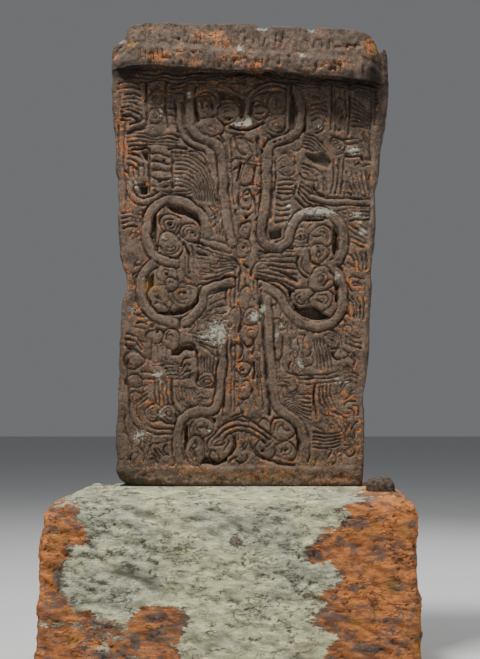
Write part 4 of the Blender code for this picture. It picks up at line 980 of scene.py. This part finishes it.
PALE_SPOTS = [
    (-21.4, 98, 1.2, 3.4, 0.75), (17, 96, 1.2, 3.4, 0.75), (38.7, 81.4, 1.6, 1.4, 0.85),
    (36, 87, 2.4, 1, 0.65), (-30, 80, 1.4, 4, 0.5), (-35.6, 56, 2.6, 2.6, 0.7), (-32, 66.6, 1.4, 1.4, 0.7),
    (25, 116, 1.8, 2.4, 0.65), (35, 108.4, 3, 1.6, 0.6), (-26.8, 120, 1.6, 3, 0.55),
    (-25, 141.6, 2.2, 1, 0.45), (-10, 74, 4, 1, 0.5), (28, 45, 3, 2, 0.4), (-14, 48, 4, 2, 0.4),
    (33, 33, 4, 2, 0.5), (-24, 36, 5, 1.2, 0.6), (-27.7, 35.6, 1.6, 1.2, 1.0), (-26.4, 33, 1.0, 1.0, 0.9),
    (-26.1, 22.8, 1.6, 1.4, 0.9), (-33.5, 16, 2.6, 2.2, 0.6), (-10.7, 17.8, 2, 1, 0.8),
    (18.2, 37.4, 2.2, 3.4, 0.6), (14.8, 27, 1.2, 1.4, 0.7), (28, 34, 6, 2.4, 0.4),
    (10.8, 48, 0.9, 1.6, 0.9), (-8, 47, 4, 3.4, 0.5), (6.5, 56.6, 1.2, 1.6, 0.8),
    (3.2, 54.2, 1.6, 1.6, 0.7), (-8.6, 50, 1.6, 1.6, 0.8), (-4.5, 56, 1, 1, 0.7), (12.5, 51.2, 1, 1.4, 0.8),
    (14.7, 90, 0.9, 0.9, 0.9), (-7.3, 85, 1.2, 1, 0.6), (-26, 79.6, 1.6, 1.6, 0.6), (30, 67, 1.6, 2, 0.8),
    (-1, 139.6, 2, 1.2, 0.5), (18, 137.6, 2, 1.2, 0.6), (-20, 142, 5, 1.6, 0.35), (6.4, 146.4, 3, 0.8, 0.9),
    (22, 145.8, 2, 0.8, 0.9), (-38.6, 143.4, 2.4, 1, 0.9), (-17.5, 126, 1.2, 1.6, 0.8),
    (29, 117, 1.6, 2, 0.5), (-38, 124, 2, 2, 0.4), (-1.8, 116.6, 3.2, 0.9, 1.0),
    (1.7, 117.8, 1.4, 2.0, 1.0), (22, 87.6, 8, 2.2, 0.75), (14.6, 84, 2.4, 3, 0.5), (-35, 97, 2.4, 3, 0.7),
    (-8, 51, 6, 6, 0.55), (5, 54, 3.4, 3.4, 0.5), (17, 46, 4, 7, 0.45), (38, 85, 2.4, 3.6, 0.6),
    (-1, 140, 2.6, 2.6, 0.4), (20, 137, 3, 2.4, 0.3), (36, 107, 3, 3, 0.45), (-31, 30, 5, 5, 0.35),
    (0, 126, 30, 3, 0.2), (-28, 16, 6, 5, 0.35), (3, 112, 4, 4, 0.3), (27, 88, 4, 2, 0.4),
    (-30, 90, 4, 6, 0.25)]
# Spots of painted shade under the cornice's ends and at the foot's left corner.
SHADE_SPOTS = [
    (-37.5, 134.8, 4.6, 2.2, 0.6), (42, 133, 2.6, 4, 0.7), (-37, 3.6, 4, 3.6, 0.6),
    (-39, 131.4, 4, 2.4, 0.4), (38, 130, 6, 2, 0.3)]
# How dark the painted shade is on the cornice's front, at its lip and on its underside.
CORNICE_SHADE, LIP_SHADE, UNDERSIDE_SHADE = 0.31, 0.48, 0.6
SIDE_ORANGE, SIDE_OCHRE, SIDE_PALE = 0.25, 0.1, 0.2

points, faces, (cut_depth, proud, line) = slab_mesh()
across = (points[:, 0] - AXIS) / CM
up = (points[:, 2] - FOOT) / CM
behind = np.clip((points[:, 1] - FACE - 0.03) / 0.03, 0, 1)
front_only = 1 - behind

# Painted shade darkens the field below the cornice, most under its edge, darkest on the cornice's underside,
# and fades up the cornice's front.
row = np.arange(len(points)) // (SLAB_COLUMNS + 1)
under_cornice = 0.34 * ease(up, 96, 116) + 0.12 * ease(up, 118, 130)
under_edge = 0.34 * ease(up - np.interp(across, *np.transpose(CORNICE_LOW)), -2.8, -1.0)
above_lip = np.clip((row - FIELD_ROWS - LIP_ROWS) / 6, 0, 1)
on_cornice = LIP_SHADE + (CORNICE_SHADE - LIP_SHADE) * above_lip
soot = np.where(row <= FIELD_ROWS, under_cornice + under_edge, on_cornice)
soot = np.where((row > FIELD_ROWS) & (row < FIELD_ROWS + LIP_ROWS), UNDERSIDE_SHADE, soot)
slab = make_piece(
    "carved_slab", points, faces, cut=np.clip(cut_depth / 2, 0, 1), proud=proud, line=line,
    soot=np.clip(soot + blobs(across, up, SHADE_SPOTS), 0, 1) * front_only,
    orange=blobs(across, up, ORANGE_SPOTS) * front_only + SIDE_ORANGE * behind,
    ochre=blobs(across, up, OCHRE_SPOTS) * front_only + SIDE_OCHRE * behind,
    pale=blobs(across, up, PALE_SPOTS) * front_only + SIDE_PALE * behind)

DARK_TUFF, LIGHT_TUFF, WORN_AND_LIT_TUFF = (0.072, 0.051, 0.037), (0.176, 0.124, 0.088), (0.250, 0.188, 0.140)
BLACK_GRIT, DEEP_SHADE, CREASE_SHADE = (0.022, 0.017, 0.013), (0.012, 0.009, 0.007), (0.020, 0.015, 0.012)
CUT_SHADE, PAINTED_SHADE_COLOUR = (0.016, 0.012, 0.009), (0.030, 0.023, 0.018)
OCHRE_LICHEN, PALE_LICHEN = (0.26, 0.150, 0.035), (0.40, 0.39, 0.31)
DULL_ORANGE, BRIGHT_ORANGE = (0.30, 0.115, 0.040), (0.60, 0.190, 0.040)

tuff = Finish("weathered_tuff")
proud, cuts = tuff.shade("proud"), tuff.shade("cut")
# The second of these is the painted shade below and on the cornice.
from_cut, sooty = tuff.shade("line"), tuff.shade("soot")
mottle = tuff.noise(24, 5, 0.62)
speckle = tuff.noise(170, 4, 0.7, shift=3.1)
grit = tuff.noise(120, 5, 0.7, shift=7.7)
ridges = proud.eased(0.50, 0.72)
stone = tuff.mix(DARK_TUFF, LIGHT_TUFF, (mottle * 0.6 + speckle * 0.4).eased(0.36, 0.62))
# Ridges are lighter, partly from wear and partly as a painted highlight; the speckle is the stone's own.
stone = tuff.mix(stone, WORN_AND_LIT_TUFF, (ridges * 0.26 + speckle.eased(0.54, 0.70) * 0.45).held())
stone = tuff.mix(stone, BLACK_GRIT, grit.eased(0.58, 0.70) * 0.65)
stone = tuff.mix(stone, DEEP_SHADE, (0.5 - proud).eased(0.08, 0.44) * 0.22)
lines = 1 - from_cut.eased(0.08, 0.34)
stone = tuff.mix(stone, DEEP_SHADE, lines * 0.52)
wrinkles = 1 - (tuff.noise(34, 4, 0.62, (1, 1, 0.7), 23) - 0.5).size().eased(0.002, 0.018)
wrinkles = wrinkles * tuff.noise(13, 3, 0.6, shift=27).eased(0.44, 0.56)
stone = tuff.mix(stone, CREASE_SHADE, wrinkles * 0.5)
stone = tuff.mix(stone, CUT_SHADE, cuts.eased(0.76, 1.0) * 0.6)
# Painted shade below and on the cornice, broken up by the grit noise.
stone = tuff.mix(stone, PAINTED_SHADE_COLOUR, sooty + (grit - 0.5) * 0.4)
ochre = (tuff.shade("ochre") * 0.34 + cuts * 0.10 + tuff.noise(60, 6, 0.75, shift=9)).eased(0.66, 0.80)
stone = tuff.mix(stone, OCHRE_LICHEN, ochre * 0.7)
dabs = tuff.noise(48, 6, 0.74, (1, 1, 1.3), 5) * 0.65 + tuff.noise(120, 4, 0.7, shift=6) * 0.35
rims = from_cut.eased(0.34, 0.50) - from_cut.eased(0.75, 1.1)
orange = (tuff.shade("orange") * 0.18 + ridges * 0.02 + rims * 0.06 + dabs).eased(0.590, 0.680)
orange_lichen = tuff.mix(DULL_ORANGE, BRIGHT_ORANGE, speckle.eased(0.40, 0.60))
# The orange lichen is muted where the painted shade lies.
stone = tuff.mix(stone, orange_lichen, orange * (0.9 - sooty * 0.7))
pale = (tuff.shade("pale") * 0.36 + tuff.noise(110, 5, 0.74, shift=14)).eased(0.70, 0.82)
stone = tuff.mix(stone, PALE_LICHEN, pale * 0.85)
tuff.bump(tuff.noise(140, 7, 0.7) + tuff.cells(240) * 0.4 - lines * 0.6 - wrinkles * 0.35, 0.9, 0.0038)
tuff.coat(slab, stone)
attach(slab, "root")
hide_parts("slab")


# The block under the slab: a rough stone, hammered roughly square and never dressed. Pale
# and orange lichens cover it. Its mesh is a box of grids with rounded edges, pushed in and
# out along its normals by weathering.

PLINTH_HEIGHT = 0.60
PLINTH_WIDTH, PLINTH_DEPTH = 1.15, 0.70
SEAT_MARGIN = 0.012
SEAT_FRONT, SEAT_BACK = FACE - SEAT_MARGIN, BACK + SEAT_MARGIN
FRONT_FALL, BACK_FALL = 0.030, 0.030
LEFT_CORNER, LEFT_CORNER_FALL = 0.115, 0.055
RIGHT_CORNER, RIGHT_CORNER_FALL = 0.055, 0.026
BLOCK_STEPS = (176, 84, 92)
SWELL, LEDGE, RIPPLE, CRACK, SKIN_DROP = 0.010, 0.009, 0.0062, 0.006, 0.004
EDGE_RADIUS, EDGE_RADIUS_CHANGE = 0.028, 0.010
# The flat seat fades in and out between these places, from side to side and front to back.
SEAT_LEFT, SEAT_RIGHT = (AXIS - 0.42, AXIS - 0.39), (AXIS + 0.395, AXIS + 0.42)
SEAT_NEAR, SEAT_FAR = (SEAT_FRONT - 0.010, SEAT_FRONT + 0.004), (SEAT_BACK - 0.02, SEAT_BACK)
STONE_BED_LENGTH, STONE_BED_WIDTH = 0.075, 0.055


def box_grid(wide, deep, tall):
    """The points of a box's six grids from 0 to 1, each once, and its faces, outward.

    Every point has whole-number steps along the box. Points that two grids share are
    found by packing their steps into one number, and kept once.
    """
    steps, quads = [], []
    count = 0
    size = (wide, deep, tall)
    for fixed, value, first, second in ((1, 0, 0, 2), (1, deep, 2, 0), (0, 0, 2, 1), (0, wide, 1, 2),
                                        (2, 0, 1, 0), (2, tall, 0, 1)):
        a, b = np.meshgrid(np.arange(size[first] + 1), np.arange(size[second] + 1), indexing="xy")
        place = np.zeros((*a.shape, 3), dtype=int)
        place[..., first], place[..., second], place[..., fixed] = a, b, value
        steps.append(place.reshape(-1, 3))
        quads.append(grid_faces(count + np.arange(a.size).reshape(a.shape)))
        count += a.size
    steps = np.vstack(steps)
    packed = (steps[:, 0] * (deep + 1) + steps[:, 1]) * (tall + 1) + steps[:, 2]
    _, kept, numbered = np.unique(packed, return_index=True, return_inverse=True)
    return steps[kept] / np.array(size), numbered[np.vstack(quads)]


def block_top(x, y):
    """The block's top: level under the slab, and falling to its worn edges."""
    side, front = PLINTH_WIDTH / 2, PLINTH_DEPTH / 2
    fall = FRONT_FALL * np.maximum(0, SEAT_FRONT - y) / (SEAT_FRONT + front)
    fall += BACK_FALL * np.maximum(0, y - SEAT_BACK) / (front - SEAT_BACK)
    share = 0.3 + 0.7 * np.minimum((y + front) / 0.25, 1)
    fall += share * LEFT_CORNER_FALL * np.maximum(0, LEFT_CORNER - side - x) / LEFT_CORNER
    fall += share * RIGHT_CORNER_FALL * np.maximum(0, x - side + RIGHT_CORNER) / RIGHT_CORNER
    return PLINTH_HEIGHT - fall


# How far the front's corners reach to the left and to the right at each height.
LEFT_PROFILE = [
    (0, 0.587), (0.116, 0.586), (0.161, 0.577), (0.203, 0.574), (0.257, 0.579), (0.296, 0.575),
    (0.353, 0.578), (0.41, 0.57), (0.458, 0.569), (0.5, 0.562), (0.54, 0.557), (0.6, 0.555)]
RIGHT_PROFILE = [
    (0, 0.586), (0.107, 0.574), (0.272, 0.57), (0.398, 0.565), (0.5, 0.566), (0.557, 0.565), (0.569, 0.561),
    (0.6, 0.556)]


def half_width(profile, y, z):
    """The measured profile at the front, fading to an even batter towards the back."""
    at_front = 1 - ease(y, -0.30, -0.12)
    even = PLINTH_WIDTH / 2 + 0.012 - 0.024 * z / PLINTH_HEIGHT
    return at_front * np.interp(z, *np.transpose(profile)) + (1 - at_front) * even


# Weathering moves the skin by these noises, in metres: broad swells, ledges that tilt with
# the stone's bed, ripples along them, and cracks where a tilted noise crosses zero.
unit, quads = box_grid(*BLOCK_STEPS)
x = (unit[:, 0] - 0.5) * PLINTH_WIDTH
y = (unit[:, 1] - 0.5) * PLINTH_DEPTH
height = unit[:, 2]
roof = block_top(x, y)
z = height * roof
along, athwart = 0.9 * (x + y) - 0.43 * z, 0.43 * (x + y) + 0.9 * z
coarse = grain(x, y, z, 0.17, 71, 3, 0.55)
ledges = grain(along * 0.4, y * 0.6, athwart * 1.2, 0.06, 72, 3, 0.6)
ripples = grain(along * 0.45, y * 0.6, athwart, 0.017, 73, 2, 0.6)
crack_field = grain(along * 0.35, y * 0.5, athwart * 1.1, 0.055, 74, 3, 0.6)
cracks = ease(-np.abs(crack_field), -0.022, 0.0) * ease(coarse, -0.1, 0.2)
rough = SWELL * coarse + LEDGE * ledges + RIPPLE * ripples - SKIN_DROP - CRACK * cracks

# An edge is rounded by pulling each point nearer than the radius to the inner box in, until
# it is as far from that box as its greatest offset was.
radius = EDGE_RADIUS + EDGE_RADIUS_CHANGE * grain(x, y, z, 0.11, 76, 2)
inner = np.stack([np.clip(x, radius - PLINTH_WIDTH / 2, PLINTH_WIDTH / 2 - radius),
                  np.clip(y, radius - PLINTH_DEPTH / 2, PLINTH_DEPTH / 2 - radius),
                  np.minimum(z, roof - radius)], axis=1)
offset = np.stack([x, y, z], axis=1) - inner
reach = np.linalg.norm(offset, axis=1)
outward = offset / np.maximum(reach, 1e-6)[:, None]
placed = inner + outward * np.abs(offset).max(axis=1)[:, None]

# The seat under the slab, the bed of the loose stone and the underside stay flat.
off_floor = ease(height, 0.0, 0.03)
under_slab = (ease(x, *SEAT_LEFT) * (1 - ease(x, *SEAT_RIGHT))
              * ease(y, *SEAT_NEAR) * (1 - ease(y, *SEAT_FAR)))
upright = np.clip(outward[:, 2], 0, 1)
stone_middle = np.array(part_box("loose_stone")).mean(axis=0)
under_stone = np.exp(-((x - stone_middle[0]) / STONE_BED_LENGTH) ** 4
                     - ((y - stone_middle[1]) / STONE_BED_WIDTH) ** 4)
free_top = upright * (1 - under_slab) * (1 - under_stone)
moved = rough * off_floor * (1 - upright) + free_top * (1.25 * rough - 0.001)
placed += outward * (moved - 0.0015 * upright)[:, None]
placed[height == 0, 2] = 0.0
x, y, z = placed.T
half = np.where(x < 0, half_width(LEFT_PROFILE, y, z), half_width(RIGHT_PROFILE, y, z))
x = x * half / (PLINTH_WIDTH / 2)

# Lichens are placed by the photograph's pixels. Its middle column and the row at the eye's
# height meet the block's front straight ahead of the eye, and a metre there is so many pixels.
PHOTO_MIDDLE, HORIZON_ROW, BLOCK_FACE_SCALE = 240.0, 405.0, 333.0
EYE_ASIDE, EYE_HEIGHT = 0.0305, 0.8577


def on_block(column, row):
    """Where a pixel of the photograph falls on the block's front, across and up in metres."""
    return ((column - PHOTO_MIDDLE) / BLOCK_FACE_SCALE + EYE_ASIDE,
            EYE_HEIGHT - (row - HORIZON_ROW) / BLOCK_FACE_SCALE)


def patches(x, z, spots):
    """Soft spots on the block's front, given by pixel column, row, half width and height."""
    return blobs(x, z, [(*on_block(column, row), wide / BLOCK_FACE_SCALE, tall / BLOCK_FACE_SCALE, strength)
                        for column, row, wide, tall, strength in spots])


def inside_by(x, z, outline):
    """How far each place lies inside a closed outline of pixels, in metres, less than 0 outside."""
    corners = [on_block(column, row) for column, row in outline]
    nearest = np.full(x.shape, np.inf)
    inside = np.zeros(x.shape, dtype=bool)
    for (x0, z0), (x1, z1) in zip(corners, corners[1:] + corners[:1]):
        run_x, run_z = x1 - x0, z1 - z0
        share = np.clip(((x - x0) * run_x + (z - z0) * run_z) / (run_x ** 2 + run_z ** 2), 0, 1)
        nearest = np.minimum(nearest, np.hypot(x - x0 - share * run_x, z - z0 - share * run_z))
        if z0 != z1:
            inside ^= ((z0 > z) != (z1 > z)) & (x < x0 + (z - z0) * run_x / run_z)
    return np.where(inside, nearest, -nearest)


# The pale crust's edge on the front, as pixel columns and rows of the photograph.
CRUST_EDGE = [
    (60, 470), (66, 494), (83, 507), (79, 516), (92, 536), (91, 542), (70, 547), (69, 559), (58, 576),
    (64, 590), (70, 600), (75, 606), (97, 612), (112, 617), (127, 619), (132, 612), (150, 606), (176, 604),
    (190, 606), (191, 617), (181, 635), (178, 649), (188, 659), (196, 690), (200, 760), (310, 760),
    (314, 690), (323, 657), (329, 644), (334, 637), (328, 629), (317, 621), (312, 616), (325, 607),
    (324, 599), (312, 593), (324, 589), (337, 581), (341, 572), (329, 562), (314, 562), (306, 553),
    (310, 545), (322, 537), (316, 531), (329, 528), (340, 526), (350, 517), (349, 511), (336, 509),
    (342, 501), (356, 496), (372, 490), (376, 470)]
# Spots by pixels too: column, row, half width, half height, strength.
BARE_SPOTS = [
    (236, 541, 9, 7, 1.0), (305, 593, 7, 4, 0.9), (246, 606, 9, 3, 0.7), (316, 554, 8, 8, 0.9),
    (352, 586, 8, 6, 0.9), (333, 595, 6, 6, 0.9), (366, 645, 26, 6, 0.8), (410, 522, 7, 9, 0.7),
    (160, 632, 30, 22, 0.6), (60, 575, 7, 16, 0.8), (100, 651, 14, 7, 0.7), (345, 562, 14, 5, 0.6),
    (352, 505, 12, 5, 0.5), (84, 612, 12, 5, 0.6), (329, 655, 7, 6, 0.7), (150, 615, 12, 4, 0.5),
    (48, 600, 6, 16, 0.5), (378, 557, 9, 4, 0.6), (212, 516, 12, 4, 0.3), (135, 640, 6, 8, 0.6),
    (412, 606, 6, 5, 0.6)]
OCHRE_PATCHES = [
    (324, 524, 5, 5, 0.8), (333, 508, 4, 2, 0.8), (391, 583, 8, 8, 0.9), (160, 503, 5, 4, 0.8),
    (418, 642, 5, 20, 0.7), (352, 618, 8, 5, 0.7), (372, 528, 8, 5, 0.4), (60, 535, 8, 8, 0.4)]

away = ease(y, -0.30, 0.0)
level = upright * ease(z, 0.45, 0.55)
edge = inside_by(x, z, CRUST_EDGE)
mixed = ease(-x, 0.11, 0.16) * (1 - ease(z, 0.20, 0.26))
pale_front = np.maximum(np.clip(0.5 + edge / 0.05, 0, 1), 0.30 * mixed) * (1 - away) + 0.40 * away
pale_top = 0.95 - 0.75 * ease(x, 0.33, 0.46) - 0.5 * ease(-x, 0.46, 0.55)
plinth = make_piece(
    "rough_block", np.stack([x, y, z], axis=1), [quads], crack=cracks,
    dip=np.clip(0.5 - 0.35 * ledges - 0.25 * ripples - 0.1 * coarse, 0, 1),
    pale=pale_front * (1 - level) + level * pale_top,
    bare=np.maximum(patches(x, z, BARE_SPOTS), 0.36 * mixed) * (1 - level) * (1 - away) + 0.35 * away,
    ochre=patches(x, z, OCHRE_PATCHES) * (1 - away),
    cool=np.clip(ease(z, 0.22, 0.42) + 0.7 * ease(-x, 0.2, 0.4) - 0.4 * level, 0, 1.2),
    upper=level)

DARK_BLOCK, LIGHT_BLOCK, SCAB_BROWN = (0.075, 0.056, 0.046), (0.21, 0.160, 0.130), (0.165, 0.115, 0.092)
DEEP_RUST, BRIGHT_RUST, DUSTY_RUST = (0.26, 0.105, 0.048), (0.76, 0.270, 0.080), (0.68, 0.34, 0.12)
OCHRE_CRUST, RUST_FLECK, CRACK_SHADE = (0.36, 0.20, 0.035), (0.30, 0.165, 0.08), (0.030, 0.024, 0.018)
DULL_CREAM, LIGHT_CREAM, SHADED_TOP_CREAM = (0.44, 0.44, 0.28), (0.86, 0.83, 0.50), (0.36, 0.34, 0.195)
DULL_COOL, LIGHT_COOL = (0.31, 0.32, 0.225), (0.72, 0.72, 0.51)
GREY_FLECK, DIP_SHADE, FLAKE_EDGE_SHADE = (0.085, 0.085, 0.070), (0.15, 0.145, 0.115), (0.045, 0.040, 0.032)
TILT = (0.62, 0.8, 1.5)

crust = Finish("lichened_block", 0.95)
patch = crust.noise(13, 5, 0.62)
fleck = crust.noise(48, 6, 0.7, TILT, 2.0)
streak = crust.noise(30, 6, 0.66, (0.5, 0.7, 2.0), 6.0)
dust = crust.noise(150, 4, 0.7, shift=21)
bare_stone = crust.mix(DARK_BLOCK, LIGHT_BLOCK, (fleck * 0.6 + dust * 0.4).eased(0.38, 0.64))

# The orange lichen, with ochre in it and brown scabs where it has come off.
rust = crust.mix(DEEP_RUST, BRIGHT_RUST, (streak * 0.5 + fleck * 0.5).eased(0.39, 0.58))
rust = crust.mix(rust, DUSTY_RUST, dust.eased(0.56, 0.72) * 0.30)
ochre = crust.shade("ochre") * 0.8 + crust.noise(20, 4, 0.6, shift=31).eased(0.56, 0.66) * 0.5
rust = crust.mix(rust, OCHRE_CRUST, ochre.held())
scab = crust.noise(11, 5, 0.66, (0.8, 1, 1.4), 11) * 0.6 + crust.noise(55, 5, 0.7, TILT, 12) * 0.4
rust = crust.mix(rust, SCAB_BROWN, scab.eased(0.50, 0.575) * 0.85)

# The pale crust: cream, cooler in parts, flecked with grey and rust, and dark in its dips with painted
# shade.
cream = crust.mix(DULL_CREAM, LIGHT_CREAM, (streak * 0.45 + fleck * 0.35 + dust * 0.2).eased(0.40, 0.58))
cool = crust.mix(DULL_COOL, LIGHT_COOL, (streak * 0.4 + fleck * 0.4 + dust * 0.2).eased(0.40, 0.60))
coolness = crust.noise(7, 4, 0.6, shift=41) * 0.7 + crust.noise(26, 4, 0.6, TILT, 43) * 0.3
coolness = coolness + crust.shade("cool") * 0.12
cream = crust.mix(cream, cool, coolness.eased(0.52, 0.64))
greys = crust.noise(30, 7, 0.76, TILT, 17) + crust.shade("cool") * 0.03
cream = crust.mix(cream, GREY_FLECK, greys.eased(0.54, 0.65) * 0.85)
cream = crust.mix(cream, RUST_FLECK, crust.noise(56, 6, 0.74, TILT, 25).eased(0.64, 0.72) * 0.55)
# Painted shade in the dips of the crust.
cream = crust.mix(cream, DIP_SHADE, crust.shade("dip").eased(0.56, 0.80) * 0.6)
# Painted shade darkens the top in patches, a little yellower.
top_shading = crust.shade("upper") * crust.noise(34, 5, 0.66, TILT, 61).eased(0.40, 0.60)
cream = crust.mix(cream, SHADED_TOP_CREAM, top_shading * 0.55)

# Bare stone shows in a seam along the crust's edge and in spots, and painted shade darkens the cracks.
cover = crust.shade("pale") + (patch - 0.5) * 1.2 + (fleck - 0.5) * 1.5
skin = crust.mix(rust, cream, cover.eased(0.46, 0.53))
seam = cover.eased(0.26, 0.40) - cover.eased(0.52, 0.66)
seam = seam * crust.noise(24, 4, 0.6, TILT, 71).eased(0.46, 0.56)
skin = crust.mix(skin, bare_stone, seam * 0.8)
skin = crust.mix(skin, bare_stone, (crust.shade("bare") + (fleck - 0.5) * 2.0).eased(0.42, 0.62) * 0.9)
skin = crust.mix(skin, CRACK_SHADE, (crust.shade("crack") * 0.7).held())
# Thin dark lines of painted shade along the edges of flakes.
flaked = 1 - (crust.noise(17, 5, 0.62, TILT, 51) - 0.5).size().eased(0.002, 0.016)
flaked = flaked * crust.noise(9, 3, 0.6, shift=53).eased(0.46, 0.56)
skin = crust.mix(skin, FLAKE_EDGE_SHADE, flaked * 0.7)
crust.bump(crust.noise(40, 8, 0.70, TILT, 3) + crust.noise(170, 4, 0.65) * 0.3 - flaked * 0.4, 1.0, 0.016)
crust.coat(plinth, skin)
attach(plinth, "root")
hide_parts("plinth")


# The loose stone: a broken piece of rubble that lies on the block beside the slab, with a
# hollow at its right end. Its mesh is a box of grids pulled into a lump.

STONE_LENGTH, STONE_WIDTH, STONE_HEIGHT = 0.090, 0.060, 0.041
STONE_SINK = 0.003
STONE_STEPS = (30, 22, 16)
STONE_DARK, STONE_LIGHT, DENT_SHADE = (0.034, 0.025, 0.019), (0.120, 0.088, 0.066), (0.02, 0.015, 0.012)

unit, quads = box_grid(*STONE_STEPS)
u, v, rise = unit[:, 0] - 0.5, unit[:, 1] - 0.5, unit[:, 2]
narrowing = (1 - 0.14 * rise ** 3) * (1 - 0.16 * (np.abs(u * v) * 4) ** 2)
x = u * STONE_LENGTH * narrowing
y = v * STONE_WIDTH * narrowing
crown = 0.96 - 0.07 * (2 * u) ** 6 - 0.05 * (2 * v) ** 6 - 0.10 * (0.5 - u)
dent = 0.55 * np.exp(-((u - 0.36) / 0.13) ** 2 - (v / 0.26) ** 2)
z = rise * STONE_HEIGHT * np.maximum(crown - dent, 0.15)
bump = 0.0045 * grain(x, y, z, 0.022, 81, 4, 0.6) * rise
x, y, z = x + bump * 2 * u, y + bump * 2 * v, z + bump
slope = FRONT_FALL / (SEAT_FRONT + PLINTH_DEPTH / 2)
bed = PLINTH_HEIGHT - slope * (SEAT_FRONT - stone_middle[1] - y)
placed = np.stack([stone_middle[0] + x, stone_middle[1] + y, bed + z - STONE_SINK], axis=1)
rubble = make_piece("loose_rubble", placed, [quads], dent=np.clip(dent * 2 * rise, 0, 1))

broken = Finish("grey_rubble", 0.94)
colour = broken.mix(STONE_DARK, STONE_LIGHT, broken.noise(90, 5, 0.6).eased(0.35, 0.68))
colour = broken.mix(colour, DENT_SHADE, broken.shade("dent") * 0.8)
broken.bump(broken.noise(220, 5, 0.6), 0.6, 0.002)
broken.coat(rubble, colour)
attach(rubble, "root")
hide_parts("loose_stone")


# The pale floor, the soft studio light and the camera, which aren't part of the object.

FLOOR_SIZE, FLOOR_GREY = 60, (0.62, 0.62, 0.61)
AIR_COLOUR, AIR_LIGHT = (0.86, 0.88, 0.92, 1.0), 0.19
SENSOR_WIDTH, LENS = 36.0, 68.3
CAMERA_DISTANCE, CAMERA_TILT = 4.0, 3.45

bpy.ops.mesh.primitive_plane_add(size=FLOOR_SIZE, location=(0, 0, 0))
floor = bpy.context.object
floor.name = "studio_floor"
Finish("floor_paint", 0.9).coat(floor, FLOOR_GREY)


def area_light(name, place, target, size, power):
    """A soft square lamp that looks at a point."""
    lamp = bpy.data.lights.new(name, "AREA")
    lamp.size = size
    lamp.energy = power
    light = bpy.data.objects.new(name, lamp)
    light.location = place
    aim = np.array(target) - np.array(place)
    flat = math.hypot(aim[0], aim[1])
    light.rotation_euler = (math.atan2(flat, -aim[2]), 0, math.atan2(aim[1], aim[0]) - math.pi / 2)
    bpy.context.scene.collection.objects.link(light)


area_light("key", place=(-1.1, -1.8, 5.6), target=(0, -0.1, 1.2), size=0.9, power=430)
area_light("fill", place=(2.8, -4.4, 2.6), target=(0, -0.1, 1.0), size=3.0, power=52)
area_light("rim", place=(2.0, 3.2, 3.4), target=(0, 0, 1.2), size=2.5, power=90)
world = bpy.data.worlds.new("studio_air")
world.use_nodes = True
air = world.node_tree.nodes["Background"]
air.inputs["Color"].default_value = AIR_COLOUR
air.inputs["Strength"].default_value = AIR_LIGHT
bpy.context.scene.world = world

camera_data = bpy.data.cameras.new("camera")
camera_data.sensor_width = SENSOR_WIDTH
camera_data.lens = LENS
camera = bpy.data.objects.new("camera", camera_data)
camera.location = (EYE_ASIDE, FACE - CAMERA_DISTANCE, EYE_HEIGHT)
camera.rotation_euler = (math.radians(90 + CAMERA_TILT), 0, 0)
bpy.context.scene.collection.objects.link(camera)
bpy.context.scene.camera = camera
